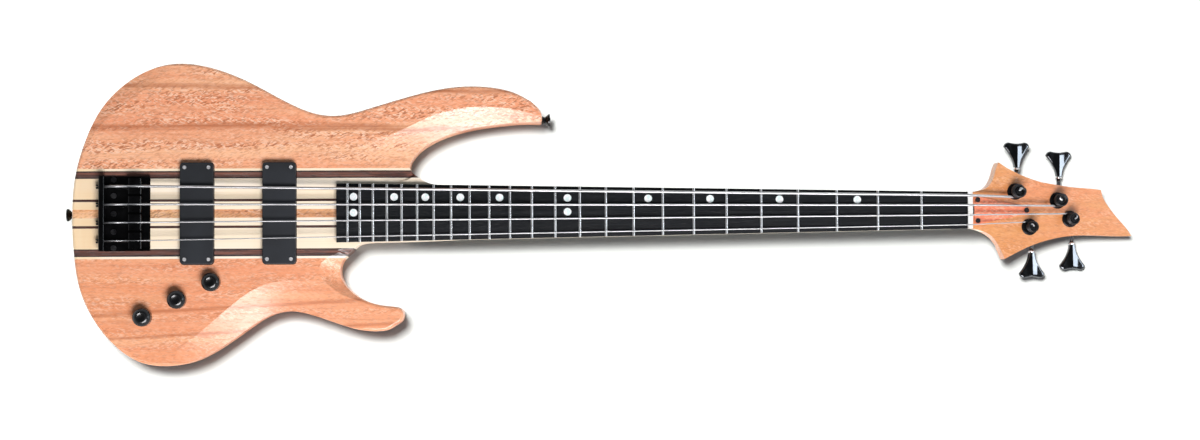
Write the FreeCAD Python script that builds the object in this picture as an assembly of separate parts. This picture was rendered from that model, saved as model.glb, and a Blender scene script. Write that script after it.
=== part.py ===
import FreeCAD, Part
import math
import os

# An electric bass guitar whose neck runs through the body, lying on its back.
# Millimetres. +X runs from the bridge to the headstock, +Y to the bass side, +Z out of the front.
# The origin is on the back face, on the centreline, under the bridge end of the scale length.

Vector = FreeCAD.Vector

# Scale length and strings
SCALE = 863.6                  # nut to saddle crown, the long scale of 34 inches
FRET_COUNT = 24
STRING_NAMES = ("e", "a", "d", "g")
STRING_D = (2.65, 2.15, 1.65, 1.15)
STRING_SPREAD_BRIDGE = 56.4    # first to last string, centre to centre
STRING_SPREAD_NUT = 30.8
NUT_LIFT = 0.4                 # underside of the strings above the fret tops, at the nut
SADDLE_LIFT = 3.4              # the same, at the saddles
STRING_SLACK = 0.1             # room round a string in its slots
STRING_BEND = 16.0             # bend of a string over the nut and saddle

# Body
BODY_T = 44.0
EDGE_ROUND = 3.0
CENTER_HALF = 4.4              # half-widths where the glued strips of the core meet
INNER_MAPLE_HALF = 12.5
VENEER_HALF = 15.1
OUTER_MAPLE_HALF = 36.6
ROSEWOOD_HALF = 44.5
CORE_HALF = 46.9
TAIL = (-69.7, -6.0)
UPPER_EDGE = ((-67, 37.5), (-57, 74.5), (-37, 113.5), (-5, 142.5), (31, 156.1), (72, 152.9),
              (113, 137.5), (154.3, 115.4), (185.6, 103.4), (205.7, 102), (237, 109),
              (279.4, 121.6), (320.7, 130.7), (352, 132.2), (381, 128.2), (396, 122.6),
              (406.5, 116.6))
UPPER_TIP_ROUND = (413.8, 110.0)
UPPER_TIP_X = 418.5
UPPER_TIP_TOP = 98.8
UPPER_TIP_LOW = 96.8
UPPER_TIP_CORNER = (415.9, 94.4)
UPPER_CUTAWAY = ((371.4, 92.4), (329.9, 84.6), (299.4, 71.6), (283.4, 56.6), (280.4, 46.6),
                 (287.4, 38.4))
UPPER_CUTAWAY_END = 316.0
LOWER_EDGE = ((-67.8, -41.7), (-61.6, -78), (-49.6, -105.7), (-24, -137.8), (0.4, -153.7),
              (25.4, -158), (51.7, -154.8), (82.4, -140), (113.4, -118.6), (133.8, -106.3),
              (154.4, -101.8), (175.4, -105), (209, -116.3), (238.9, -123), (255.4, -122.2))
LOWER_TIP_ROUND = (268.6, -115.0)
LOWER_TIP = (273.6, -106.0)
LOWER_TIP_CORNER = (266.2, -97.9)
LOWER_CUTAWAY = ((233.6, -91.2), (219.6, -82.1), (210.1, -70.9), (207.4, -60.4), (209.9, -49.9),
                 (218.6, -40.2))
LOWER_CUTAWAY_END = 243.0

# Carved facets: a ridge point on the front, a point past the edge, and the depth there.
# A facet fades out where its depth is below zero.
HORN_FACET = ((204, 47.6, 261, 30.6, -0.4), (227, 67.6, 291, 44.6, 5), (261, 81.6, 299, 62.6, 7.5),
              (306, 102.1, 325, 76.6, 9.5), (358, 110.6, 363, 84.6, 10),
              (395, 106.6, 396, 86.6, 7.5), (423, 97.6, 423, 90.6, 1.5))
WAIST_FACET = ((32, -139, 24, -167, -0.4), (71.5, -116, 93, -147, 7.5),
               (100, -91.5, 116, -131, 10.5), (129, -74.5, 140, -117, 9.5),
               (158, -70, 164, -113, 6), (194, -71, 200, -123, 2.5), (228, -87, 238, -131, -0.4))
SCOOP_FACET = ((225.8, -33.4, 233.8, -45.4, -0.4), (206.8, -40.4, 223.8, -49.4, 6.5),
               (190.8, -49.4, 219.8, -55.4, 11.5), (185.8, -59.4, 219.8, -61.4, 14.5),
               (189.8, -69.4, 219.8, -67.4, 15.5), (203.8, -81.4, 225.8, -73.4, 15),
               (223.8, -90.4, 235.8, -79.4, 10.5), (243.8, -95.4, 247.8, -85.4, -0.4))
ARM_FACET = ((-67, 41.5, -77, 43.5, -0.4), (-52, 74.5, -67, 79.5, 4), (-39, 93.5, -55, 107.5, 5.5),
             (-19, 111.5, -37, 129.5, 5.5), (9, 132.5, -3, 153.5, 4), (43, 151.5, 37, 169.5, -0.4))
FACET_BEHIND = 0.2             # share of a facet's width that its cutter reaches behind the ridge

# Neck and fretboard
NUT_W = 38.5
LAST_FRET_W = 61.0
NECK_DEPTH_NUT = 14.5          # wood under the fretboard
NECK_DEPTH_HEEL = 16.5
NECK_SHOULDER = 0.15           # the rounded back starts this far outside the neck's sides
HEEL_START = 262.0
HEEL_LEN = 84.0
HEEL_DROP = 1.0                # how far the heel's carving starts below the back
HEEL_STATIONS = 7
NECK_SQUARE = 6.0              # how square a cross-section is: 2 is an ellipse
NECK_SOFT = 2.2
FB_T = 6.5
FB_TAIL = 11.5                 # fretboard past the last fret
FB_RADIUS = 400.0
FRET_W = 2.6
FRET_H = 1.1
FRET_SEAT = 0.02
TANG_W = 0.6
TANG_DEPTH = 1.8
TANG_SLACK = 0.05
DOT_D = 8.0
DOT_DEPTH = 1.6
SINGLE_DOTS = (3, 5, 7, 9, 15, 17, 19, 21)
DOUBLE_DOTS = (12, 24)
SIDE_DOT_D = 2.2
NUT_T = 5.0
NUT_RISE = 1.2                 # nut above the outer strings' undersides

# Truss rod
ROD_D = 4.8
ROD_APART = 5.0
ROD_COVER = 0.6                # upper rod under the fretboard
ROD_SLACK = 0.3
ROD_START = 232.0
ROD_THREAD_R = 1.8
ROD_NUT_R = 3.3
ROD_NUT_LEN = 11.0
ROD_SOCKET = 2.0
ROD_PAST_NUT = 2.0             # bare rod between the bone nut and the adjuster
ROD_POCKET_W = 11.0
ROD_POCKET_LEN = 44.0
ROD_POCKET_DEPTH = 11.0

# Headstock, in its own frame: s from the nut, y, and h out of its face
HEAD_TILT = 9.0
HEAD_T = 13.5
FACE_T = 1.5
EAR_LINE = 22.5
THROAT_LEN = 22.0              # where the neck starts to swell towards the headstock
THROAT_FLAT = 31.0             # where the headstock's back becomes flat
THROAT_HALF = 34.0
THROAT_SOFT = 3.2
THROAT_SWELL = (0.6, 1.0)      # extra half-width and depth behind the nut
HEAD_UPPER = ((10, 21), (17.5, 24), (22.5, 29.5), (26, 37), (28.3, 45))
HEAD_UPPER_EAR = (31.2, 50.6)
HEAD_TOP_EDGE = ((42.8, 43.5), (60.5, 35.6), (78.2, 30.1), (95.9, 27.2), (113.6, 24.7),
                 (131.3, 23.5))
HEAD_TOP_CORNER = (144.8, 22.1)
HEAD_END = ((147.5, 13), (153.5, 3.5), (164, -9.2), (171.8, -17.6))
HEAD_TIP = (178.0, -26.7)
HEAD_LOW_EDGE = ((146.1, -26.3), (117.4, -26.2), (104.2, -27.5), (91, -29.8), (73.5, -34.4),
                 (55.9, -41.4))
HEAD_LOWER_EAR = (36.4, -51.2)
HEAD_LOWER = ((33.2, -43.5), (29.5, -36.5), (24.4, -29), (17.5, -24), (10, -21))
COVER_BASE = 3.0               # truss rod cover: from the nut, half-width and length
COVER_HALF = 14.5
COVER_LEN = 64.0
COVER_T = 2.0
COVER_ROUND = 3.5

# Tuners: post place on the headstock and the side that its key points to
TUNERS = {"e": (48.7, 19.9, 1), "a": (95.7, 10.6, 1), "d": (109.4, -8.9, -1), "g": (64.1, -17.4, -1)}
POST_R = 4.4
POST_TOP = 13.0
POST_SHAFT_R = 3.6
POST_CHAMFER = 0.6
POST_HOLE_R = 1.25
RUN_FIT = 0.05                 # running clearance of a shaft in its hole
WRAP_CLEAR = 0.3               # wound string off the post
WRAP_FOOT = 5.0                # underside of the lowest turn above the headstock face
WRAP_STEP = 1.0                # least room between turns
NOT_NEIGHBOURS = 4             # stretches this many diameters apart are tested for room
WASHER_R = 8.7
WASHER_T = 2.0
BUSH_R = 6.5
BUSH_DEPTH = 8.0
GEAR_TEETH = 20
GEAR_TIP_R = 6.7
GEAR_ROOT_R = 5.85
GEAR_T = 3.0
GEAR_BELOW = 4.0               # gear's upper face behind the headstock
GEAR_TOOTH = 0.34              # share of the tooth pitch at the tip
GEAR_TOOTH_FOOT = 0.51
WORM_OFFSET = 9.0
WORM_R = 2.1
WORM_WIRE_R = 0.3
WORM_TURNS = 4
WORM_SEAT = 0.02
KEY_SHAFT_R = 2.2
KEY_JOURNAL_R = 1.6
KEY_REACH = 24.4               # post centre to the collar
COLLAR_R = 3.6
COLLAR_T = 2.6
BUTTON_LEN = 27.8
BUTTON_RIDGE = 6.4
BUTTON_RIM = 2.6
BUTTON_PROFILE = ((2.8, 0), (4.4, 7.6), (7.6, 14), (11.4, 19), (14.2, 22.8), (14, 25.9), (11.8, 27.8))
BUTTON_DIP = 1.2
CASE_HALF = 9.2                # tuner case: half-width across the worm
CASE_BACK = 8.6
CASE_FRONT = 4.4               # past the worm's axis
CASE_DEPTH = 11.5
CASE_WALL = 1.3
TAB_OUT = 5.0
TAB_T = 1.5
TAB_HALF = 3.5
TUNER_SCREW_R = 1.0
TUNER_SCREW_HEAD_R = 2.0
TUNER_SCREW_LEN = 8.0

# Bridge
BRIDGE_BACK = -40.3
BRIDGE_LEN = 52.0
BRIDGE_W = 77.5
PLATE_T = 2.0
WALL_T = 6.0
WALL_H = 13.0
WALL_ROUND = 1.5
RAIL_LEN = 24.0
RAIL_H = 5.0
RAIL_W = 1.6
BALL_R = 2.2
BALL_LEN = 3.4
BALL_Z = 9.0                   # string's start above the body
SADDLE_W = 16.4
SADDLE_BACK = 10.0
SADDLE_FRONT = 4.0
SADDLE_LIP = 0.9               # saddle above the string's centre
SADDLE_FOOT = 0.4
INTON_R = 1.5
INTON_Z = 4.5
INTON_TIP = 2.0
INTON_HEAD_R = 2.4
INTON_HEAD_LEN = 3.4
INTON_SLOT = 0.8
HEIGHT_SCREW_R = 1.5
HEIGHT_SCREW_APART = 12.0
HEIGHT_SCREW_X = -4.5
BRIDGE_SCREW_X = -26.0
BRIDGE_SCREW_Y = (-35.4, -18.8, 0.0, 18.8, 35.4)
BRIDGE_SCREW_R = 1.6
BRIDGE_SCREW_HEAD_R = 2.9
BRIDGE_SCREW_HEAD_H = 1.6
BRIDGE_SCREW_LEN = 18.0

# Pickups
PICKUP_X = (60.0, 145.2)
PICKUP_W = 34.8
PICKUP_L = 106.0
PICKUP_CORNER = 3.7
PICKUP_RISE = 6.5
PICKUP_DEPTH = 15.5
PICKUP_WALL = 1.8
PICKUP_TOP = 1.6
PICKUP_END = 10.5
PICKUP_EDGE = 1.0
POCKET_GAP = 0.4
COIL_W = 13.0
COIL_L = 78.0
COIL_H = 13.0
FOAM_T = 2.4
FOAM_W = 9.0
FOAM_L = 9.0
FOAM_ROUND = 1.5
PICKUP_SCREW_IN_X = 5.0
PICKUP_SCREW_IN_Y = 5.2
PICKUP_SCREW_R = 1.2
PICKUP_SCREW_HEAD_R = 1.9
PICKUP_SCREW_HEAD_H = 1.2
PICKUP_SCREW_GRIP = 8.0        # screw in the wood under the pocket

# Controls
KNOB_AT = ((74.8, -71.3), (39.5, -89.2), (4.0, -107.3))
KNOB_R = 9.6
KNOB_H = 15.0
KNOB_GAP = 0.8
KNOB_ROUND = 4.2
KNOB_TAPER = 0.5
KNOB_SKIRT_R = 7.4
KNOB_SKIRT_H = 5.2
KNOB_BORE = 0.02
KNOB_SHAFT_H = 12.0
FRONT_WALL = 6.0
POT_R = 8.2
POT_H = 12.0
POT_BUSH_R = 3.5
POT_BUSH_OUT = 4.4
POT_NUT_R = 5.6
POT_NUT_H = 2.4
POT_SHAFT_R = 3.0
POT_SHAFT_IN = 4.0
CAVITY_R = 16.0
BAY = (-36.0, -87.5, 26.0, -56.0)   # battery bay: two corners
BAY_ROUND = 6.0
COVER_PLATE_T = 2.5
COVER_LIP = 6.0
COVER_FIT = 0.3
COVER_SCREW_R = 1.4
COVER_SCREW_HEAD_R = 2.6
COVER_SCREW_HEAD_H = 1.2
COVER_SCREW_LEN = 12.0
BATTERY = (48.5, 26.5, 17.5)
BATTERY_SEAT = 0.3
BATTERY_ROUND = 2.0
BATTERY_STUD_R = 3.0
BATTERY_STUD_H = 2.6
LEAD_R = 1.0
LEAD_BEND = 5.0
LEAD_HOLE_R = 1.8
LEAD_GAP = 0.1
LEAD_Z = 1.2                   # leads above the pickup pockets' floor

# Jack and strap buttons
JACK_X = 24.0
JACK_Z = 22.0
JACK_SEAT = -153.4
JACK_PLATE = (36.0, 24.0, 2.0)
JACK_PLATE_ROUND = 4.0
JACK_BORE_R = 3.25
JACK_BUSH_R = 4.7
JACK_BUSH_OUT = 2.2
JACK_CAN_R = 8.0
JACK_CAN_LEN = 31.0
JACK_BORE_LEN = 28.0
JACK_NUT_R = 7.2
JACK_NUT_T = 1.8
JACK_FIT = 0.2
JACK_SCREW_APART = 27.0
STRAP_LEN = 8.6
STRAP_SEAT_R = 4.6
STRAP_NECK_R = 3.4
STRAP_FLANGE_R = 6.7
STRAP_RIM = 1.8
STRAP_WAIST = 3.4
STRAP_SCREW_R = 2.0
STRAP_SCREW_LEN = 24.0
STRAP_SCREW_HEAD_R = 3.4
STRAP_SCREW_HEAD_H = 1.0
SCREW_FIT = 0.05
MARGIN = 20.0                  # how far cutting tools run past what they cut
NEAR = 0.1                     # how close to a face an edge counts as lying on it
ROUTE_SHARE = 0.45             # share of the shorter run that a free bend takes up
SLOT_SHARE = 0.5               # depth of a screw's slot, of its head's height

# Places that follow from the sizes above
LAST_FRET_X = SCALE / 2 ** (FRET_COUNT / 12)
FB_START = LAST_FRET_X - FB_TAIL
HEAD_X = SCALE + NUT_T
HEEL_END = HEEL_START + HEEL_LEN
FB_TOP = BODY_T + FB_T
FRET_TOP = FB_TOP + FRET_H
CAVITY_TOP = BODY_T - FRONT_WALL
POCKET_FLOOR = BODY_T - PICKUP_DEPTH - FOAM_T
BRIDGE_TOP = BODY_T + PLATE_T
HEAD = FreeCAD.Placement(Vector(HEAD_X, 0, BODY_T), FreeCAD.Rotation(Vector(0, 1, 0), HEAD_TILT))
X_AXIS = Vector(1, 0, 0)
Y_AXIS = Vector(0, 1, 0)
Z_AXIS = Vector(0, 0, 1)


# Helpers

def box(low, high):
    """A box between two corners."""
    size = [b - a for a, b in zip(low, high)]
    return Part.makeBox(size[0], size[1], size[2], Vector(*low))


def rod(radius, start, end):
    """A round bar from one point to another."""
    start = Vector(*start)
    run = Vector(*end) - start
    return Part.makeCylinder(radius, run.Length, start, run)


def joined(shapes):
    """Several touching or crossing solids made into one."""
    return shapes[0].fuse(shapes[1:]).removeSplitter()


def in_head(shape):
    """Moves a shape from the headstock's own frame to the guitar's frame."""
    moved = shape.copy()
    moved.Placement = HEAD.multiply(shape.Placement)
    return moved


def spline(points, start=None, end=None):
    """An edge through points, with directions at its ends where they are given."""
    curve = Part.BSplineCurve()
    if start is None:
        curve.interpolate(points)
    else:
        curve.interpolate(Points=points, InitialTangent=start, FinalTangent=end)
    return curve.toShape()


def flat(points):
    """Plan points as vectors."""
    return [Vector(p[0], p[1], 0) for p in points]


def arc_from(start, heading, end):
    """The arc that leaves start along heading and reaches end, and its heading there."""
    chord = end - start
    side = heading - chord * (heading.dot(chord) / chord.dot(chord))
    leave = chord * (2 * heading.dot(chord) / chord.dot(chord)) - heading
    turn = heading.getAngle(chord)
    if turn < 1e-6:
        return Part.LineSegment(start, end).toShape(), heading
    middle = (start + end) * 0.5 + side.normalize() * (chord.Length / 2 * math.tan(turn / 2))
    return Part.Arc(start, middle, end).toShape(), leave.normalize()


def biarc(start, heading, end, leaving):
    """Two tangent arcs between two points with given directions."""
    gap = start - end
    both = heading + leaving
    a = 2 * (1 - heading.dot(leaving))
    b = 2 * gap.dot(both)
    c = gap.dot(gap)
    if abs(a) < 1e-9:
        reach = -c / b
    else:
        reach = (-b - math.sqrt(b * b + 4 * a * c)) / (-2 * a)
    middle = (start + heading * reach + end - leaving * reach) * 0.5
    first, turned = arc_from(start, heading, middle)
    second, _ = arc_from(middle, turned, end)
    return [first, second]


def rounded_route(points, radius=None):
    """Straight runs joined by tangent arcs, with the arc size set or as large as the runs allow."""
    edges = []
    last = points[0]
    for before, corner, after in zip(points, points[1:], points[2:]):
        arrive = corner - before
        leave = after - corner
        half = arrive.getAngle(leave) / 2
        shorter = min(arrive.Length, leave.Length)
        trim = ROUTE_SHARE * shorter if radius is None else radius * math.tan(half)
        arrive.normalize()
        into = corner - arrive * trim
        out = corner + leave.normalize() * trim
        edges.append(Part.LineSegment(last, into).toShape())
        edges.append(arc_from(into, arrive, out)[0])
        last = out
    edges.append(Part.LineSegment(last, points[-1]).toShape())
    return edges


def tube(edges, radius):
    """A round tube along a chain of tangent edges."""
    first = edges[0]
    start = first.valueAt(first.FirstParameter)
    heading = first.tangentAt(first.FirstParameter)
    circle = Part.Wire([Part.makeCircle(radius, start, heading)])
    return Part.Wire(edges).makePipeShell([circle], True, False)


def hexagon(radius, height, foot):
    """A six-sided prism standing on foot."""
    turns = [k * math.pi / 3 for k in range(7)]
    corners = [Vector(radius * math.cos(turn), radius * math.sin(turn), 0) for turn in turns]
    prism = Part.Face(Part.makePolygon(corners)).extrude(Vector(0, 0, height))
    prism.translate(Vector(*foot))
    return prism


def rounded_box(low, high, radius):
    """A box with its upright edges rounded."""
    block = box(low, high)
    upright = [e for e in block.Edges if e.BoundBox.ZLength > 1e-6]
    return block.makeFillet(radius, upright)


def rim_edges(solid, keep):
    """The level edges of a prism whose middle passes a test."""
    return [e for e in solid.Edges if e.BoundBox.ZLength < 1e-6 and keep(e.CenterOfMass)]


def slab(low, high):
    """Everything between two values of y."""
    reach = SCALE + HEAD_TIP[0] + MARGIN * 4
    return box((-reach, low, -reach), (reach, high, reach))


def both_sides(shape, low, high):
    """The parts of a shape between two distances from the centreline."""
    return [shape.common(slab(low, high)), shape.common(slab(-high, -low))]


def slot_along(start, end, radius, height):
    """A round-bottomed slot from just before one point to another, open to the front."""
    start = start - (end - start).normalize() * radius
    run = end - start
    across = run.cross(Z_AXIS).normalize() * radius
    up = across.cross(run).normalize()
    left = start - across
    right = start + across
    edges = [
        Part.Arc(left, start - up * radius, right).toShape(),
        Part.LineSegment(right, right + up * height).toShape(),
        Part.LineSegment(right + up * height, left + up * height).toShape(),
        Part.LineSegment(left + up * height, left).toShape(),
    ]
    return Part.Face(Part.Wire(edges)).extrude(run)


def export(name, *shapes):
    """Writes the solids of one node and says how many there are."""
    solids = [solid for shape in shapes for solid in shape.Solids]
    whole = solids[0] if len(solids) == 1 else Part.makeCompound(solids)
    if not whole.isValid():
        raise ValueError(name + " is not a sound solid")
    whole.exportStep("parts/" + name + ".step")
    print(name, len(solids), "solids", round(whole.Volume / 1000, 2), "cm3")


# Lines that several pieces share

def fret_x(number):
    return SCALE / 2 ** (number / 12)


def neck_half(x):
    """Half the width of the neck and fretboard at x."""
    share = (SCALE - x) / (SCALE - LAST_FRET_X)
    return (NUT_W + (LAST_FRET_W - NUT_W) * share) / 2


def crown_drop(y):
    """How far the rounded fretboard has fallen at y."""
    return FB_RADIUS - math.sqrt(FB_RADIUS ** 2 - y * y)


def string_point(index, x):
    """The middle of a string above x, between the saddle and the nut."""
    share = x / SCALE
    spread = STRING_SPREAD_BRIDGE + (STRING_SPREAD_NUT - STRING_SPREAD_BRIDGE) * share
    y = spread * (0.5 - index / (len(STRING_NAMES) - 1))
    lift = SADDLE_LIFT + (NUT_LIFT - SADDLE_LIFT) * share
    return Vector(x, y, FRET_TOP - crown_drop(y) + lift + STRING_D[index] / 2)


def ball_point(index):
    """The middle of a string where it leaves its ball end in the bridge's wall."""
    y = string_point(index, 0).y
    return Vector(BRIDGE_BACK + BALL_LEN, y, BODY_T + BALL_Z)


def nut_break(index):
    """Where a string bends over the nut."""
    at = string_point(index, SCALE)
    run = at - string_point(index, 0)
    return at + run.normalize() * (NUT_T / 3)


# Body and neck

def plan_face():
    """The outline of the body and neck as seen from the front."""
    taper = (NUT_W - LAST_FRET_W) / 2 / (SCALE - LAST_FRET_X)
    tail = Vector(TAIL[0], TAIL[1], 0)
    tip_top = Vector(UPPER_TIP_X, UPPER_TIP_TOP, 0)
    tip_low = Vector(UPPER_TIP_X, UPPER_TIP_LOW, 0)
    tip_corner, lower_tip, lower_corner = flat((UPPER_TIP_CORNER, LOWER_TIP, LOWER_TIP_CORNER))
    upper_round, lower_round = flat((UPPER_TIP_ROUND, LOWER_TIP_ROUND))
    upper_end = Vector(UPPER_CUTAWAY_END, neck_half(UPPER_CUTAWAY_END), 0)
    lower_end = Vector(LOWER_CUTAWAY_END, -neck_half(LOWER_CUTAWAY_END), 0)
    nut_upper = Vector(HEAD_X, neck_half(HEAD_X), 0)
    nut_lower = Vector(HEAD_X, -neck_half(HEAD_X), 0)
    upper_arc, upper_heading = arc_from(tip_low, Y_AXIS * -1, tip_corner)
    lower_arc, lower_heading = arc_from(lower_tip, Y_AXIS, lower_corner)
    upper_shoulder, upper_back = arc_from(tip_top, Y_AXIS, upper_round)
    lower_shoulder, lower_back = arc_from(lower_tip, Y_AXIS * -1, lower_round)
    edges = [
        spline([tail] + flat(UPPER_EDGE) + [upper_round], Y_AXIS, upper_back * -1),
        upper_shoulder,
        Part.LineSegment(tip_top, tip_low).toShape(),
        upper_arc,
        spline([tip_corner] + flat(UPPER_CUTAWAY) + [upper_end], upper_heading, Vector(1, taper, 0)),
        Part.LineSegment(upper_end, nut_upper).toShape(),
        Part.LineSegment(nut_upper, nut_lower).toShape(),
        Part.LineSegment(nut_lower, lower_end).toShape(),
        spline([lower_corner] + flat(LOWER_CUTAWAY) + [lower_end], lower_heading, Vector(1, -taper, 0)),
        lower_arc,
        lower_shoulder,
        spline([tail] + flat(LOWER_EDGE) + [lower_round], Y_AXIS * -1, lower_back * -1),
    ]
    return Part.Face(Part.Wire(Part.__sortEdges__(edges)))


def facet_cutter(stations):
    """A tool whose lower face runs from a ridge on the front down past the edge."""
    sections = []
    for ridge_x, ridge_y, edge_x, edge_y, depth in stations:
        ridge = Vector(ridge_x, ridge_y, BODY_T + max(0, -depth))
        edge = Vector(edge_x, edge_y, BODY_T - depth)
        behind = ridge + (ridge - edge) * FACET_BEHIND
        up = Vector(0, 0, MARGIN)
        sections.append(Part.makePolygon([behind, edge, edge + up, behind + up, behind]))
    return Part.makeLoft(sections, True, False)


def back_section(half, depth, power):
    """A cross-section of the neck's back: straight sides above a rounded bottom."""
    steps = 16
    points = []
    for step in range(steps + 1):
        turn = math.pi * step / steps
        across = math.cos(turn)
        down = math.sin(turn)
        reach = (abs(across / half) ** power + abs(down / depth) ** power) ** (-1 / power)
        points.append(Vector(0, reach * across, -reach * down))
    corner = Vector(0, half, MARGIN)
    other = Vector(0, -half, MARGIN)
    edges = [
        Part.LineSegment(corner, points[0]).toShape(),
        spline(points, Z_AXIS * -1, Z_AXIS),
        Part.LineSegment(points[-1], other).toShape(),
        Part.LineSegment(other, corner).toShape(),
    ]
    return Part.Wire(edges)


def upright_section(x, half, depth, power):
    section = back_section(half, depth, power)
    section.translate(Vector(x, 0, BODY_T))
    return section


def tilted_section(s, half, depth, power):
    section = back_section(half, depth, power)
    section.translate(Vector(s, 0, 0))
    return in_head(section)


def neck_back():
    """What the back of the body, heel, neck and headstock is carved to."""
    wide = CORE_HALF + MARGIN
    throat_x = HEAD_X - THROAT_LEN
    body = box((TAIL[0] - MARGIN, -wide, -HEEL_DROP), (HEEL_START, wide, BODY_T + MARGIN))
    carved = []
    for k in range(HEEL_STATIONS):
        share = k / (HEEL_STATIONS - 1)
        ease = (1 - math.cos(math.pi * share)) / 2
        x = HEEL_START + HEEL_LEN * share
        half = wide + (neck_half(HEEL_END) + NECK_SHOULDER - wide) * ease
        depth = BODY_T + HEEL_DROP + (NECK_DEPTH_HEEL - BODY_T - HEEL_DROP) * ease
        carved.append(upright_section(x, half, depth, NECK_SQUARE + (NECK_SOFT - NECK_SQUARE) * ease))
    heel = Part.makeLoft(carved, True, False)
    neck_end = upright_section(throat_x, neck_half(throat_x) + NECK_SHOULDER, NECK_DEPTH_NUT, NECK_SOFT)
    neck = Part.makeLoft([carved[-1], neck_end], True, True)
    throat = Part.makeLoft([
        neck_end,
        upright_section(HEAD_X - NUT_T / 2, neck_half(HEAD_X) + THROAT_SWELL[0],
                        NECK_DEPTH_NUT + THROAT_SWELL[1], NECK_SOFT),
        tilted_section(THROAT_FLAT / 2, THROAT_HALF, NECK_DEPTH_NUT, THROAT_SOFT),
        tilted_section(THROAT_FLAT, wide, HEAD_T, NECK_SQUARE),
    ], True, False)
    far = HEAD_TIP[0] + MARGIN
    plate = in_head(box((THROAT_FLAT, -wide, -HEAD_T), (far, wide, MARGIN)))
    return joined([body, heel, neck, throat, plate])


def head_face():
    """The outline of the headstock in its own frame."""
    start = neck_half(HEAD_X)
    back = -NUT_T
    ear, corner, tip, low_ear = flat((HEAD_UPPER_EAR, HEAD_TOP_CORNER, HEAD_TIP, HEAD_LOWER_EAR))
    edges = [
        Part.LineSegment(Vector(back, -start, 0), Vector(back, start, 0)).toShape(),
        Part.LineSegment(Vector(back, start, 0), Vector(0, start, 0)).toShape(),
        spline([Vector(0, start, 0)] + flat(HEAD_UPPER) + [ear]),
        spline([ear] + flat(HEAD_TOP_EDGE) + [corner]),
        spline([corner] + flat(HEAD_END) + [tip]),
        spline([tip] + flat(HEAD_LOW_EDGE) + [low_ear]),
        spline([low_ear] + flat(HEAD_LOWER) + [Vector(0, -start, 0)]),
        Part.LineSegment(Vector(0, -start, 0), Vector(back, -start, 0)).toShape(),
    ]
    return Part.Face(Part.Wire(edges))


def pickup_pockets():
    pockets = []
    for x in PICKUP_X:
        half_w = PICKUP_W / 2 + POCKET_GAP
        half_l = PICKUP_L / 2 + POCKET_GAP
        low = (x - half_w, -half_l, POCKET_FLOOR)
        high = (x + half_w, half_l, BODY_T + MARGIN)
        pockets.append(rounded_box(low, high, PICKUP_CORNER + POCKET_GAP))
    return pockets


def pickup_screw_places():
    places = []
    for x in PICKUP_X:
        for side in (-1, 1):
            for end in (-1, 1):
                dx = side * (PICKUP_W / 2 - PICKUP_SCREW_IN_X)
                dy = end * (PICKUP_L / 2 - PICKUP_SCREW_IN_Y)
                places.append((x + dx, dy))
    return places


def drillings():
    """Holes and pockets in the wood of the body and neck."""
    tools = pickup_pockets()
    for x, y in pickup_screw_places():
        foot = POCKET_FLOOR - PICKUP_SCREW_GRIP - SCREW_FIT
        tools.append(rod(PICKUP_SCREW_R + SCREW_FIT, (x, y, foot), (x, y, POCKET_FLOOR + 1)))
    for y in BRIDGE_SCREW_Y:
        foot = BRIDGE_TOP - BRIDGE_SCREW_LEN - SCREW_FIT
        top = (BRIDGE_SCREW_X, y, BODY_T + 1)
        tools.append(rod(BRIDGE_SCREW_R + SCREW_FIT, (BRIDGE_SCREW_X, y, foot), top))
    lead_z = POCKET_FLOOR + LEAD_Z
    lead_y = -lead_line_y()
    tools.append(rod(LEAD_HOLE_R, (PICKUP_X[0], lead_y, lead_z), (PICKUP_X[1], lead_y, lead_z)))
    near = -PICKUP_L / 2 + PICKUP_CORNER
    tools.append(rod(LEAD_HOLE_R, (PICKUP_X[0], near, lead_z), (PICKUP_X[0], KNOB_AT[0][1], lead_z)))
    half = ROD_D / 2 + ROD_SLACK
    floor = BODY_T - ROD_COVER - ROD_APART - ROD_D - ROD_SLACK
    tools.append(box((ROD_START - ROD_SLACK, -half, floor), (HEAD_X + 1, half, BODY_T + MARGIN)))
    depth = STRAP_SCREW_LEN + SCREW_FIT
    radius = STRAP_SCREW_R + SCREW_FIT
    tools.append(rod(radius, (TAIL[0] - 1, 0, BODY_T / 2), (TAIL[0] + depth, 0, BODY_T / 2)))
    horn_y = (UPPER_TIP_TOP + UPPER_TIP_LOW) / 2
    tools.append(rod(radius, (UPPER_TIP_X + 1, horn_y, BODY_T / 2),
                     (UPPER_TIP_X - depth, horn_y, BODY_T / 2)))
    return tools


def lead_line_y():
    return (VENEER_HALF + INNER_MAPLE_HALF) / 2 - LEAD_R


def head_drillings():
    """Holes in the headstock, in its own frame."""
    tools = []
    for s, y, side in TUNERS.values():
        tools.append(rod(BUSH_R + SCREW_FIT, (s, y, -HEAD_T - MARGIN), (s, y, MARGIN)))
        for tab in tab_places(s):
            deep = -HEAD_T + TUNER_SCREW_LEN + SCREW_FIT
            tools.append(rod(TUNER_SCREW_R + SCREW_FIT, (tab, y, -HEAD_T - MARGIN), (tab, y, deep)))
    half = ROD_POCKET_W / 2
    tools.append(box((-2 * NUT_T, -half, -ROD_POCKET_DEPTH), (ROD_POCKET_LEN, half, MARGIN)))
    for s, y in cover_screw_places():
        tools.append(rod(COVER_SCREW_R + SCREW_FIT, (s, y, -COVER_SCREW_LEN + COVER_T), (s, y, MARGIN)))
    return tools


def tab_places(s):
    return (s - CASE_BACK - TAB_OUT / 2, s + WORM_OFFSET + CASE_FRONT + TAB_OUT / 2)


def cover_screw_places():
    base = COVER_BASE + COVER_ROUND
    side = COVER_HALF - COVER_ROUND
    return ((base, side), (base, -side), (COVER_LEN - COVER_ROUND, 0))


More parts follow.
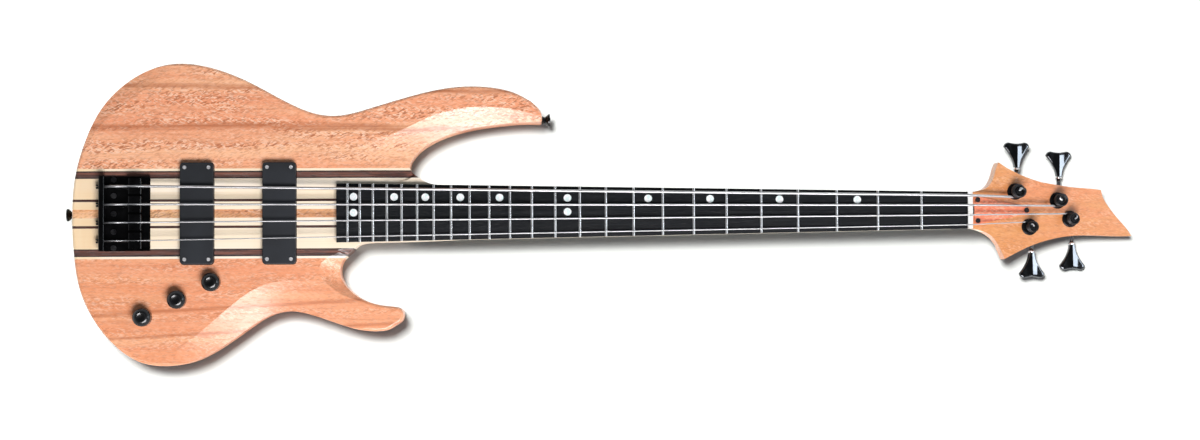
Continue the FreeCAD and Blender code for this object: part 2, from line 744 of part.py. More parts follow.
def build_wood():
    slab_of_plan = plan_face().extrude(Vector(0, 0, BODY_T))
    holes = drillings()
    horn = facet_cutter(HORN_FACET)
    scoop = facet_cutter(SCOOP_FACET)

    upper = slab_of_plan.common(slab(CORE_HALF, CORE_HALF + 10 * MARGIN))
    upper = upper.makeFillet(EDGE_ROUND, rim_edges(upper, lambda c: c.y > CORE_HALF + NEAR))
    upper = upper.cut([horn, facet_cutter(ARM_FACET)] + holes)
    export("upper_wing", upper)

    lower = slab_of_plan.common(slab(-CORE_HALF - 10 * MARGIN, -CORE_HALF))
    lower = lower.makeFillet(EDGE_ROUND, rim_edges(lower, lambda c: c.y < -CORE_HALF - NEAR))
    lower = lower.cut([scoop, facet_cutter(WAIST_FACET)] + holes + control_routing())
    export("lower_wing", lower)

    core = slab_of_plan.common(slab(-CORE_HALF, CORE_HALF))
    core = core.makeFillet(EDGE_ROUND, rim_edges(core, lambda c: c.x < TAIL[0] + MARGIN))
    head = in_head(head_face().extrude(Vector(0, 0, -HEAD_T - MARGIN)))
    head.translate(HEAD.Rotation.multVec(Vector(0, 0, -FACE_T)))
    back = neck_back()
    pocket = [in_head(tool) for tool in head_drillings()]
    core = core.common(back).cut([horn, scoop] + holes + pocket)
    head = head.common(back).cut(holes + pocket)
    blank = joined([core, head.common(slab(-EAR_LINE, EAR_LINE))])
    export("neck_center_strip", blank.common(slab(-CENTER_HALF, CENTER_HALF)))
    export("neck_inner_maple_strips", *both_sides(blank, CENTER_HALF, INNER_MAPLE_HALF))
    export("neck_dark_veneers", *both_sides(blank, INNER_MAPLE_HALF, VENEER_HALF))
    export("neck_outer_maple_strips", *both_sides(blank, VENEER_HALF, OUTER_MAPLE_HALF))
    export("core_rosewood_strips", *both_sides(blank, OUTER_MAPLE_HALF, ROSEWOOD_HALF))
    export("core_edge_maple_strips", *both_sides(blank, ROSEWOOD_HALF, CORE_HALF))
    ears = [head.common(slab(EAR_LINE, 10 * MARGIN)), head.common(slab(-10 * MARGIN, -EAR_LINE))]
    export("headstock_ears", *ears)

    face = head_face().extrude(Vector(0, 0, -FACE_T))
    face = face.cut([box((-2 * NUT_T, -CORE_HALF, -MARGIN), (0, CORE_HALF, MARGIN))] + head_drillings())
    neck_end = box((SCALE, -CORE_HALF, 0), (HEAD_X, CORE_HALF, BODY_T))
    export("headstock_face", in_head(face).cut(neck_end))


def cavity_prism(grow, low, high):
    """The control cavity's plan, grown outwards, between two heights."""
    ends = (KNOB_AT[0], KNOB_AT[-1])
    radius = CAVITY_R + grow
    run = Vector(ends[1][0] - ends[0][0], ends[1][1] - ends[0][1], 0)
    across = Vector(-run.y, run.x, 0).normalize() * radius
    a, b = flat(ends)
    sides = Part.makePolygon([a + across, b + across, b - across, a - across, a + across])
    middle = Part.Face(sides).extrude(Vector(0, 0, high - low))
    middle.translate(Vector(0, 0, low))
    rounds = [rod(radius, (x, y, low), (x, y, high)) for x, y in ends]
    bay = rounded_box((BAY[0] - grow, BAY[1] - grow, low), (BAY[2] + grow, BAY[3] + grow, high),
                      BAY_ROUND + grow)
    return joined([middle] + rounds + [bay])


def control_cover_screws():
    """Places round the control cavity's rim."""
    out = CAVITY_R + COVER_LIP / 2
    first, last = flat((KNOB_AT[0], KNOB_AT[-1]))
    along = (first - last).normalize()
    across = Vector(along.y, -along.x, 0)
    rim = COVER_LIP / 2
    spots = [first + along * out, last - along * out, (first + last) * 0.5 + across * out]
    spots.append(Vector(BAY[0] - rim, (BAY[1] + BAY[3]) / 2, 0))
    spots.append(Vector((BAY[0] + BAY[2]) / 2, BAY[3] + rim, 0))
    return spots


def control_routing():
    """The control cavity, its cover's recess, the pot holes and the jack's hole."""
    tools = [cavity_prism(0, COVER_PLATE_T, CAVITY_TOP)]
    tools.append(cavity_prism(COVER_LIP + COVER_FIT, -MARGIN, COVER_PLATE_T))
    for x, y in KNOB_AT:
        tools.append(rod(POT_BUSH_R + JACK_FIT, (x, y, CAVITY_TOP - 1), (x, y, BODY_T + MARGIN)))
    for spot in control_cover_screws():
        top = (spot.x, spot.y, COVER_SCREW_LEN)
        tools.append(rod(COVER_SCREW_R + SCREW_FIT, (spot.x, spot.y, 0), top))
    seat = jack_plate_block(JACK_FIT, MARGIN)
    tools.append(seat)
    tools.append(rod(JACK_CAN_R + JACK_FIT, (JACK_X, JACK_SEAT - 1, JACK_Z),
                     (JACK_X, KNOB_AT[-1][1], JACK_Z)))
    for x in jack_screw_places():
        deep = JACK_SEAT + COVER_SCREW_LEN
        tools.append(rod(COVER_SCREW_R + SCREW_FIT, (x, JACK_SEAT - 1, JACK_Z), (x, deep, JACK_Z)))
    return tools


def jack_plate_block(grow, thick):
    """A rounded block on the jack's seat in the lower edge of the body."""
    half = JACK_PLATE[0] / 2 + grow
    tall = JACK_PLATE[1] / 2 + grow
    block = rounded_box((-half, -tall, 0), (half, tall, thick), JACK_PLATE_ROUND + grow)
    block.rotate(Vector(0, 0, 0), X_AXIS, 90)
    block.translate(Vector(JACK_X, JACK_SEAT, JACK_Z))
    return block


def jack_screw_places():
    return (JACK_X - JACK_SCREW_APART / 2, JACK_X + JACK_SCREW_APART / 2)


# Fretboard, frets and nut

def board_section(x):
    half = neck_half(x)
    edge_z = FB_TOP - crown_drop(half)
    foot = [Vector(x, -half, BODY_T), Vector(x, half, BODY_T)]
    top = [Vector(x, half, edge_z), Vector(x, 0, FB_TOP), Vector(x, -half, edge_z)]
    edges = [
        Part.LineSegment(foot[0], foot[1]).toShape(),
        Part.LineSegment(foot[1], top[0]).toShape(),
        Part.Arc(top[0], top[1], top[2]).toShape(),
        Part.LineSegment(top[2], foot[0]).toShape(),
    ]
    return Part.Wire(edges)


def swept_over_board(profile, x):
    """Turns a cross-section at the centreline into a bar that follows the board's rounded top."""
    spread = math.degrees(math.asin(neck_half(x) / FB_RADIUS))
    axis = Vector(x, 0, FB_TOP - FB_RADIUS)
    profile.rotate(axis, X_AXIS, spread)
    return profile.revolve(axis, X_AXIS, -2 * spread)


def fret_wire(x):
    half = FRET_W / 2
    tang = TANG_W / 2
    low = FB_TOP + FRET_SEAT
    foot = FB_TOP - TANG_DEPTH
    ends = (Vector(x + half, 0, low), Vector(x - half, 0, low))
    crown = Part.Arc(ends[0], Vector(x, 0, low + FRET_H), ends[1]).toShape()
    steps = [Vector(x - tang, 0, low), Vector(x - tang, 0, foot), Vector(x + tang, 0, foot),
             Vector(x + tang, 0, low)]
    under = Part.makePolygon([ends[1]] + steps + [ends[0]])
    return swept_over_board(Part.Face(Part.Wire([crown] + under.Edges)), x)


def fret_slot(x):
    half = TANG_W / 2 + TANG_SLACK
    foot = BODY_T + (FB_T - TANG_DEPTH) - TANG_SLACK - crown_drop(neck_half(x))
    reach = neck_half(x) + MARGIN
    floor = FB_TOP - TANG_DEPTH - TANG_SLACK
    slot = box((x - half, -reach, foot), (x + half, reach, FB_TOP + 1))
    bed = rod(FB_RADIUS - FB_TOP + floor, (x - 1, 0, FB_TOP - FB_RADIUS), (x + 1, 0, FB_TOP - FB_RADIUS))
    return slot.cut(bed)


def dot_places():
    """Dots lie between the first two strings, and double ones between the next two as well."""
    places = []
    for number in SINGLE_DOTS + DOUBLE_DOTS:
        x = (fret_x(number) + fret_x(number - 1)) / 2
        ys = [string_point(k, x).y for k in range(3)]
        places.append((x, (ys[0] + ys[1]) / 2))
        if number in DOUBLE_DOTS:
            places.append((x, (ys[1] + ys[2]) / 2))
    return places


def build_fretboard():
    board = Part.makeLoft([board_section(FB_START), board_section(SCALE)], True, True)
    numbers = range(1, FRET_COUNT + 1)
    dots = []
    for x, y in dot_places():
        plug = rod(DOT_D / 2, (x, y, FB_TOP - crown_drop(y) - DOT_DEPTH), (x, y, FB_TOP + 1))
        dots.append(plug.common(board))
    for number in SINGLE_DOTS + DOUBLE_DOTS:
        x = (fret_x(number) + fret_x(number - 1)) / 2
        side = neck_half(x)
        middle = BODY_T + FB_T / 2
        plug = rod(SIDE_DOT_D / 2, (x, side - DOT_DEPTH, middle), (x, side + 1, middle))
        dots.append(plug.common(board))
    slots = [fret_slot(fret_x(number)) for number in numbers]
    export("position_dots", *dots)
    export("fret_wires", *[fret_wire(fret_x(number)) for number in numbers])
    export("fretboard", board.cut(slots + dots))


def build_nut():
    half = neck_half(SCALE)
    top = string_point(0, SCALE).z + NUT_RISE
    block = box((SCALE, -half, BODY_T), (HEAD_X, half, top))
    crown = rod(FB_RADIUS, (SCALE - 1, 0, top - FB_RADIUS), (HEAD_X + 1, 0, top - FB_RADIUS))
    block = block.common(crown)
    for index in range(len(STRING_NAMES)):
        bend = nut_break(index)
        radius = STRING_D[index] / 2 + STRING_SLACK
        back = (string_point(index, 0) - bend).normalize()
        onward = (wrap_start(index)[0] - bend).normalize()
        for way in (back, onward):
            block = block.cut(slot_along(bend, bend + way * MARGIN, radius, MARGIN))
    export("nut", block)


def build_truss_rod():
    upper_z = BODY_T - ROD_COVER - ROD_D / 2
    lower_z = upper_z - ROD_APART
    block = ROD_D * 2
    bars = [rod(ROD_D / 2, (ROD_START, 0, z), (SCALE, 0, z)) for z in (upper_z, lower_z)]
    ends = [box((x, -ROD_D / 2, lower_z - ROD_D / 2), (x + block, ROD_D / 2, upper_z + ROD_D / 2))
            for x in (ROD_START, SCALE - block)]
    thread = ROD_THREAD_R
    stub_end = HEAD_X + ROD_PAST_NUT + ROD_NUT_LEN - ROD_SOCKET
    stub = rod(thread, (SCALE - block, 0, lower_z), (stub_end, 0, lower_z))
    export("truss_rod", joined(bars + ends + [stub]))
    start = HEAD_X + ROD_PAST_NUT
    nut = hexagon(ROD_NUT_R, ROD_NUT_LEN, (0, 0, 0))
    nut.rotate(Vector(0, 0, 0), Y_AXIS, 90)
    nut.translate(Vector(start, 0, lower_z))
    nut = nut.cut(rod(thread + RUN_FIT, (start - 1, 0, lower_z), (stub_end + RUN_FIT, 0, lower_z)))
    socket = hexagon(ROD_NUT_R / 2, ROD_NUT_LEN, (0, 0, 0))
    socket.rotate(Vector(0, 0, 0), Y_AXIS, 90)
    socket.translate(Vector(stub_end, 0, lower_z))
    export("truss_rod_nut", nut.cut(socket))


def screw(radius, length, head_r, head_h, place, axis, slot):
    """A slotted screw whose head's underside is at place, pointing along axis."""
    shank = Part.makeCylinder(radius, length)
    head = Part.makeCylinder(head_r, head_h, Vector(0, 0, -head_h))
    cut = box((-head_r - 1, -slot / 2, -head_h - 1), (head_r + 1, slot / 2, -head_h * (1 - SLOT_SHARE)))
    whole = joined([shank, head]).cut(cut)
    whole.Placement = FreeCAD.Placement(Vector(*place), FreeCAD.Rotation(Z_AXIS, Vector(*axis)))
    return whole


def build_covers():
    places = cover_screw_places()
    discs = [rod(COVER_ROUND, (s, y, 0), (s, y, COVER_T)) for s, y in places]
    hull = []
    for (s0, y0), (s1, y1) in zip(places, places[1:] + places[:1]):
        run = Vector(s1 - s0, y1 - y0, 0)
        across = Vector(-run.y, run.x, 0).normalize() * COVER_ROUND
        a = Vector(s0, y0, 0)
        b = Vector(s1, y1, 0)
        strip = Part.makePolygon([a + across, b + across, b - across, a - across, a + across])
        hull.append(Part.Face(strip).extrude(Vector(0, 0, COVER_T)))
    inner = Part.makePolygon(flat(places + places[:1]))
    hull.append(Part.Face(inner).extrude(Vector(0, 0, COVER_T)))
    plate = joined(discs + hull)
    holes = [rod(COVER_SCREW_R + SCREW_FIT, (s, y, -1), (s, y, COVER_T + 1)) for s, y in places]
    export("truss_rod_cover", in_head(plate.cut(holes)))

    head = (COVER_SCREW_HEAD_R, COVER_SCREW_HEAD_H)
    slot = COVER_SCREW_R / 2
    screws = []
    for s, y in places:
        piece = screw(COVER_SCREW_R, COVER_SCREW_LEN - SCREW_FIT, *head, (s, y, COVER_T), (0, 0, -1), slot)
        screws.append(in_head(piece))
    sink = COVER_SCREW_HEAD_H
    for spot in control_cover_screws():
        length = COVER_SCREW_LEN - sink - SCREW_FIT
        screws.append(screw(COVER_SCREW_R, length, *head, (spot.x, spot.y, sink), (0, 0, 1), slot))
    for x in jack_screw_places():
        place = (x, JACK_SEAT - JACK_PLATE[2], JACK_Z)
        screws.append(screw(COVER_SCREW_R, COVER_SCREW_LEN - SCREW_FIT, *head, place, (0, 1, 0), slot))
    export("cover_screws", *screws)

    cover = cavity_prism(COVER_LIP, 0, COVER_PLATE_T)
    cuts = []
    for spot in control_cover_screws():
        at = (spot.x, spot.y)
        cuts.append(rod(COVER_SCREW_R + SCREW_FIT, (*at, -1), (*at, COVER_PLATE_T + 1)))
        cuts.append(rod(COVER_SCREW_HEAD_R + SCREW_FIT, (*at, -1), (*at, sink)))
    export("control_cover", cover.cut(cuts))


# Tuners

def gear_mid():
    """Height of the gears and worms in the headstock's frame."""
    return -HEAD_T - GEAR_BELOW - GEAR_T / 2


def gear_wheel(s, y):
    step = 2 * math.pi / GEAR_TEETH
    foot = gear_mid() - GEAR_T / 2
    tip = GEAR_TOOTH / 2
    base = GEAR_TOOTH_FOOT / 2
    profile = ((GEAR_ROOT_R, -0.5), (GEAR_ROOT_R, -base), (GEAR_TIP_R, -tip), (GEAR_TIP_R, tip),
               (GEAR_ROOT_R, base))
    points = []
    for tooth in range(GEAR_TEETH):
        for radius, share in profile:
            turn = (tooth + 0.5 + share) * step
            points.append(Vector(s + radius * math.cos(turn), y + radius * math.sin(turn), foot))
    return Part.Face(Part.makePolygon(points + points[:1])).extrude(Vector(0, 0, GEAR_T))


def tuner_post(s, y):
    foot = gear_mid() - GEAR_T / 2
    barrel_foot = WASHER_T + WRAP_CLEAR
    barrel = rod(POST_R, (s, y, barrel_foot), (s, y, POST_TOP))
    top_rim = [e for e in barrel.Edges if e.BoundBox.ZMin > POST_TOP - NEAR and e.BoundBox.ZLength < NEAR]
    barrel = barrel.makeChamfer(POST_CHAMFER, top_rim)
    hole = rod(POST_HOLE_R, (s, y, POST_TOP - POST_R), (s, y, POST_TOP + 1))
    shaft = rod(POST_SHAFT_R, (s, y, foot), (s, y, barrel_foot))
    return in_head(joined([barrel, shaft, gear_wheel(s, y)]).cut(hole))


def helix_edges(center, radius, start_turn, side, quarters, rise, first=None, last=None):
    """Tangent arcs, two to a quarter turn, that climb round an upright axis."""
    nodes = []
    for k in range(quarters + 1):
        turn = start_turn + side * k * math.pi / 2
        at = center + Vector(radius * math.cos(turn), radius * math.sin(turn), rise * k)
        sweep = side * radius * math.pi / 2
        along = Vector(-math.sin(turn) * sweep, math.cos(turn) * sweep, rise)
        nodes.append([at, along.normalize()])
    if first is not None:
        nodes[0][1] = first
    if last is not None:
        nodes[-1][1] = last
    edges = []
    for (p0, t0), (p1, t1) in zip(nodes, nodes[1:]):
        edges += biarc(p0, t0, p1, t1)
    return edges


def worm_pitch():
    middle = WORM_OFFSET - WORM_R - WORM_SEAT - WORM_WIRE_R
    return 2 * math.pi * middle / GEAR_TEETH


def tuner_key(s, y, side):
    """A key with its shaft, collar and worm, and the worm's thread wound on it."""
    at_s = s + WORM_OFFSET
    at_h = gear_mid()

    def bar(radius, start, end):
        return rod(radius, (at_s, y + side * start, at_h), (at_s, y + side * end, at_h))

    thread_len = worm_pitch() * WORM_TURNS
    worm_half = thread_len / 2 + 2 * WORM_WIRE_R
    end = KEY_REACH + COLLAR_T
    parts = [
        bar(WORM_R, -worm_half, worm_half),
        bar(KEY_JOURNAL_R, -CASE_HALF + RUN_FIT, -worm_half),
        bar(KEY_SHAFT_R, worm_half, end),
        bar(COLLAR_R, KEY_REACH, end),
    ]
    outline = [Vector(w, t, 0) for w, t in BUTTON_PROFILE]
    mirror = [Vector(-p.x, p.y, 0) for p in reversed(outline)]
    dip = Vector(0, BUTTON_LEN - BUTTON_DIP, 0)
    rim = Part.Wire([
        spline(outline),
        Part.Arc(outline[-1], dip, mirror[0]).toShape(),
        spline(mirror),
        Part.LineSegment(mirror[-1], outline[0]).toShape(),
    ])
    blade = Part.Face(rim).extrude(Vector(0, 0, BUTTON_RIDGE))
    blade.translate(Vector(0, 0, -BUTTON_RIDGE / 2))
    wide = BUTTON_PROFILE[4][0]
    ridge = BUTTON_RIDGE / 2
    edge = BUTTON_RIM / 2
    diamond = [Vector(0, 0, ridge), Vector(wide, 0, edge), Vector(wide, 0, -edge), Vector(0, 0, -ridge),
               Vector(-wide, 0, -edge), Vector(-wide, 0, edge), Vector(0, 0, ridge)]
    roof = Part.Face(Part.makePolygon(diamond)).extrude(Vector(0, BUTTON_LEN + 1, 0))
    blade = blade.common(roof)
    if side < 0:
        blade.rotate(Vector(0, 0, 0), Z_AXIS, 180)
    blade.translate(Vector(at_s, y + side * (end - COLLAR_T / 2), at_h))
    coil = helix_edges(Vector(0, 0, -thread_len / 2), WORM_R + WORM_SEAT + WORM_WIRE_R, math.pi, 1,
                       4 * WORM_TURNS, worm_pitch() / 4)
    thread = tube(coil, WORM_WIRE_R)
    thread.rotate(Vector(0, 0, 0), X_AXIS, -90)
    thread.translate(Vector(at_s, y, at_h))
    return [in_head(joined(parts + [blade])), in_head(thread)]


def tuner_case(s, y, side):
    floor = -HEAD_T - CASE_DEPTH
    front = s + WORM_OFFSET + CASE_FRONT
    shell = rounded_box((s - CASE_BACK, y - CASE_HALF, floor), (front, y + CASE_HALF, -HEAD_T),
                        2 * CASE_WALL)
    tab = rounded_box((s - CASE_BACK - TAB_OUT, y - TAB_HALF, -HEAD_T - TAB_T),
                      (front + TAB_OUT, y + TAB_HALF, -HEAD_T), TAB_HALF - NEAR)
    at_h = gear_mid()
    at_s = s + WORM_OFFSET
    boss_end = y + side * (CASE_HALF + 2 * CASE_WALL)
    boss = rod(KEY_SHAFT_R + CASE_WALL, (at_s, y, at_h), (at_s, boss_end, at_h))
    hollow = box((s - CASE_BACK + CASE_WALL, y - CASE_HALF + CASE_WALL, floor + CASE_WALL),
                 (front - CASE_WALL, y + CASE_HALF - CASE_WALL, MARGIN))
    out = y + side * (CASE_HALF + MARGIN)
    cuts = [hollow, rod(KEY_SHAFT_R + RUN_FIT, (at_s, y, at_h), (at_s, out, at_h))]
    cuts.append(rod(KEY_JOURNAL_R + RUN_FIT, (at_s, y, at_h), (at_s, y - side * (CASE_HALF + 1), at_h)))
    for tab_s in tab_places(s):
        cuts.append(rod(TUNER_SCREW_R + SCREW_FIT, (tab_s, y, floor), (tab_s, y, MARGIN)))
    return in_head(joined([shell, tab, boss]).cut(cuts))


def build_tuners():
    cases = []
    bushes = []
    screws = []
    for name, (s, y, side) in TUNERS.items():
        cases.append(tuner_case(s, y, side))
        sleeve = rod(BUSH_R, (s, y, -BUSH_DEPTH), (s, y, WASHER_T))
        washer = rod(WASHER_R, (s, y, 0), (s, y, WASHER_T))
        rim = [e for e in washer.Edges if e.BoundBox.ZMin > WASHER_T - NEAR and e.BoundBox.ZLength < NEAR]
        washer = washer.makeFillet(WASHER_T / 2, rim)
        hole = rod(POST_SHAFT_R + RUN_FIT, (s, y, -MARGIN), (s, y, MARGIN))
        bushes.append(in_head(joined([sleeve, washer]).cut(hole)))
        for tab in tab_places(s):
            place = (tab, y, -HEAD_T - TAB_T)
            piece = screw(TUNER_SCREW_R, TUNER_SCREW_LEN + TAB_T - SCREW_FIT, TUNER_SCREW_HEAD_R,
                          TUNER_SCREW_HEAD_R / 2, place, (0, 0, 1), TUNER_SCREW_R / 2)
            screws.append(in_head(piece))
        export("tuner_post_" + name, tuner_post(s, y))
        export("tuner_key_" + name, *tuner_key(s, y, side))
    export("tuner_housings", *cases)
    export("tuner_bushings", *bushes)
    export("tuner_screws", *screws)


# Strings

def wrap_radius(index):
    return POST_R + WRAP_CLEAR + STRING_D[index] / 2


def wrap_start(index):
    """Where a string meets its post: the point, its angle round the post, and its height."""
    s, y, side = TUNERS[STRING_NAMES[index]]
    bend = HEAD.inverse().multVec(nut_break(index))
    run = Vector(s - bend.x, y - bend.y, 0)
    radius = wrap_radius(index)
    heading = math.atan2(run.y, run.x) - side * math.asin(radius / run.Length)
    turn = heading - side * math.pi / 2
    height = WRAP_FOOT + STRING_D[index] / 2
    touch = Vector(s + radius * math.cos(turn), y + radius * math.sin(turn), height)
    return HEAD.multVec(touch), turn, height


def least_gap(edges, diameter):
    """The least room between two stretches of a tube that are not neighbours."""
    points = []
    for edge in edges:
        points += edge.discretize(Distance=diameter / 4)
    lengths = [0]
    for before, after in zip(points, points[1:]):
        lengths.append(lengths[-1] + (after - before).Length)
    least = 1e9
    for i, first in enumerate(points):
        for j in range(i + 1, len(points)):
            if lengths[j] - lengths[i] > NOT_NEIGHBOURS * diameter:
                least = min(least, (points[j] - first).Length)
    return least - diameter


def build_strings():
    for index, name in enumerate(STRING_NAMES):
        s, y, side = TUNERS[name]
        diameter = STRING_D[index]
        touch, turn, height = wrap_start(index)
        start = ball_point(index)
        over_saddle = string_point(index, 0)
        over_nut = nut_break(index)
        edges = rounded_route([start, over_saddle, over_nut, touch], STRING_BEND)
        arrive = HEAD.Rotation.inverted().multVec(touch - over_nut).normalize()
        top = POST_TOP + WRAP_CLEAR + diameter / 2
        quarters = int(4 * (top - height) / (diameter + WRAP_STEP))
        radius = wrap_radius(index)
        end_turn = turn + side * quarters * math.pi / 2
        level = Vector(-math.sin(end_turn) * side, math.cos(end_turn) * side, 0)
        wraps = helix_edges(Vector(s, y, height), radius, turn, side, quarters,
                            (top - height) / quarters, arrive, level)
        center = Vector(s, y, top)
        outward = Vector(math.cos(end_turn), math.sin(end_turn), 0)
        hook_middle = center + outward * (radius / 2) + level * (radius / 2)
        wraps.append(Part.Arc(center + outward * radius, hook_middle, center).toShape())
        print("string", name, "turns", quarters / 4, "gap", round(least_gap(wraps, diameter), 2), "mm")
        wound = [in_head(edge) for edge in wraps]
        ball = rod(BALL_R, (BRIDGE_BACK, start.y, start.z), (start.x - SCREW_FIT, start.y, start.z))
        export("string_" + name, tube(edges + wound, diameter / 2), ball)


# Bridge

def build_bridge():
    front = BRIDGE_BACK + BRIDGE_LEN
    half = BRIDGE_W / 2
    wall_front = BRIDGE_BACK + WALL_T
    plate = box((BRIDGE_BACK, -half, BODY_T), (front, half, BRIDGE_TOP))
    wall = box((BRIDGE_BACK, -half, BODY_T), (wall_front, half, BODY_T + WALL_H))
    top = BODY_T + WALL_H - NEAR
    top_edges = [e for e in wall.Edges if e.BoundBox.ZMin > top and e.BoundBox.YLength > 1]
    wall = wall.makeFillet(WALL_ROUND, top_edges)
    rails = [box((front - RAIL_LEN, edge, BODY_T), (front, edge + RAIL_W, BODY_T + RAIL_H))
             for edge in (-half, half - RAIL_W)]
    cuts = []
    for index in range(len(STRING_NAMES)):
        start = ball_point(index)
        back = (BRIDGE_BACK - 1, start.y, start.z)
        cuts.append(rod(BALL_R + JACK_FIT, back, (start.x, start.y, start.z)))
        hole = STRING_D[index] / 2 + 2 * STRING_SLACK
        run = string_point(index, 0) - start
        cuts.append(rod(hole, start - run * (1 / run.Length), start + run * (WALL_T / run.Length)))
        screw_z = BODY_T + INTON_Z
        cuts.append(rod(INTON_R + RUN_FIT, (BRIDGE_BACK - 1, start.y, screw_z),
                        (wall_front + 1, start.y, screw_z)))
    for y in BRIDGE_SCREW_Y:
        cuts.append(rod(BRIDGE_SCREW_R + SCREW_FIT, (BRIDGE_SCREW_X, y, 0),
                        (BRIDGE_SCREW_X, y, BODY_T + MARGIN)))
    export("bridge_base", joined([plate, wall] + rails).cut(cuts))

    screws = [screw(BRIDGE_SCREW_R, BRIDGE_SCREW_LEN - SCREW_FIT, BRIDGE_SCREW_HEAD_R,
                    BRIDGE_SCREW_HEAD_H, (BRIDGE_SCREW_X, y, BRIDGE_TOP), (0, 0, -1), BRIDGE_SCREW_R / 2)
              for y in BRIDGE_SCREW_Y]
    export("bridge_screws", *screws)

    for index, name in enumerate(STRING_NAMES):
        crown = string_point(index, 0)
        top = crown.z + SADDLE_LIP
        low = (-SADDLE_BACK, crown.y - SADDLE_W / 2, BRIDGE_TOP + SADDLE_FOOT)
        block = box(low, (SADDLE_FRONT, crown.y + SADDLE_W / 2, top))
        long_edges = [e for e in block.Edges if e.BoundBox.YLength > 1 and e.BoundBox.ZMin > top - NEAR]
        block = block.makeFillet(SADDLE_FRONT / 2, long_edges)
        radius = STRING_D[index] / 2 + STRING_SLACK
        ahead = (nut_break(index) - crown).normalize() * MARGIN
        behind = (ball_point(index) - crown).normalize() * MARGIN
        cuts = [slot_along(crown, crown + ahead, radius, MARGIN),
                slot_along(crown, crown + behind, radius, MARGIN)]
        screw_z = BODY_T + INTON_Z
        cuts.append(rod(INTON_R + RUN_FIT, (-MARGIN, crown.y, screw_z), (MARGIN, crown.y, screw_z)))
        legs = []
        for side in (-1, 1):
            leg_y = crown.y + side * HEIGHT_SCREW_APART / 2
            at = (HEIGHT_SCREW_X, leg_y)
            leg = rod(HEIGHT_SCREW_R, (*at, BRIDGE_TOP + SCREW_FIT), (*at, top))
            socket = hexagon(HEIGHT_SCREW_R / 2, HEIGHT_SCREW_R, (*at, top - HEIGHT_SCREW_R))
            legs.append(leg.cut(socket))
            cuts.append(rod(HEIGHT_SCREW_R + SCREW_FIT, (*at, 0), (*at, top + 1)))
        export("saddle_" + name, block.cut(cuts), *legs)
        length = INTON_TIP - BRIDGE_BACK
        place = (BRIDGE_BACK - RUN_FIT, crown.y, screw_z)
        export("intonation_screw_" + name, screw(INTON_R, length, INTON_HEAD_R, INTON_HEAD_LEN, place,
                                                 (1, 0, 0), INTON_SLOT))


# Pickups and electronics

def build_pickups():
    top = BODY_T + PICKUP_RISE
    foot = BODY_T - PICKUP_DEPTH
    covers = []
    coils = []
    foam = []
    places = pickup_screw_places()
    for x in PICKUP_X:
        half_w = PICKUP_W / 2
        half_l = PICKUP_L / 2
        shell = rounded_box((x - half_w, -half_l, foot), (x + half_w, half_l, top), PICKUP_CORNER)
        shell = shell.makeFillet(PICKUP_EDGE, rim_edges(shell, lambda c: c.z > top - NEAR))
        room = box((x - half_w + PICKUP_WALL, -half_l + PICKUP_END, foot - 1),
                   (x + half_w - PICKUP_WALL, half_l - PICKUP_END, top - PICKUP_TOP))
        covers.append(shell.cut([room]))
        for side in (-1, 1):
            mid = x + side * (COIL_W / 2 + SCREW_FIT)
            coil_top = top - PICKUP_TOP - SCREW_FIT
            coils.append(rounded_box((mid - COIL_W / 2, -COIL_L / 2, coil_top - COIL_H),
                                     (mid + COIL_W / 2, COIL_L / 2, coil_top), COIL_W / 2 - NEAR))
    screws = []
    through = []
    for x, y in places:
        through.append(rod(PICKUP_SCREW_R + SCREW_FIT, (x, y, 0), (x, y, top + 1)))
        pad = rounded_box((x - FOAM_W / 2, y - FOAM_L / 2, POCKET_FLOOR),
                          (x + FOAM_W / 2, y + FOAM_L / 2, foot), FOAM_ROUND)
        foam.append(pad.cut(through[-1]))
        length = top - POCKET_FLOOR + PICKUP_SCREW_GRIP - SCREW_FIT
        screws.append(screw(PICKUP_SCREW_R, length, PICKUP_SCREW_HEAD_R, PICKUP_SCREW_HEAD_H,
                            (x, y, top), (0, 0, -1), PICKUP_SCREW_R / 2))
    export("bridge_pickup_cover", covers[0].cut(through))
    export("neck_pickup_cover", covers[1].cut(through))
    export("pickup_coils", *coils)
    export("pickup_foam", *foam)
    export("pickup_screws", *screws)


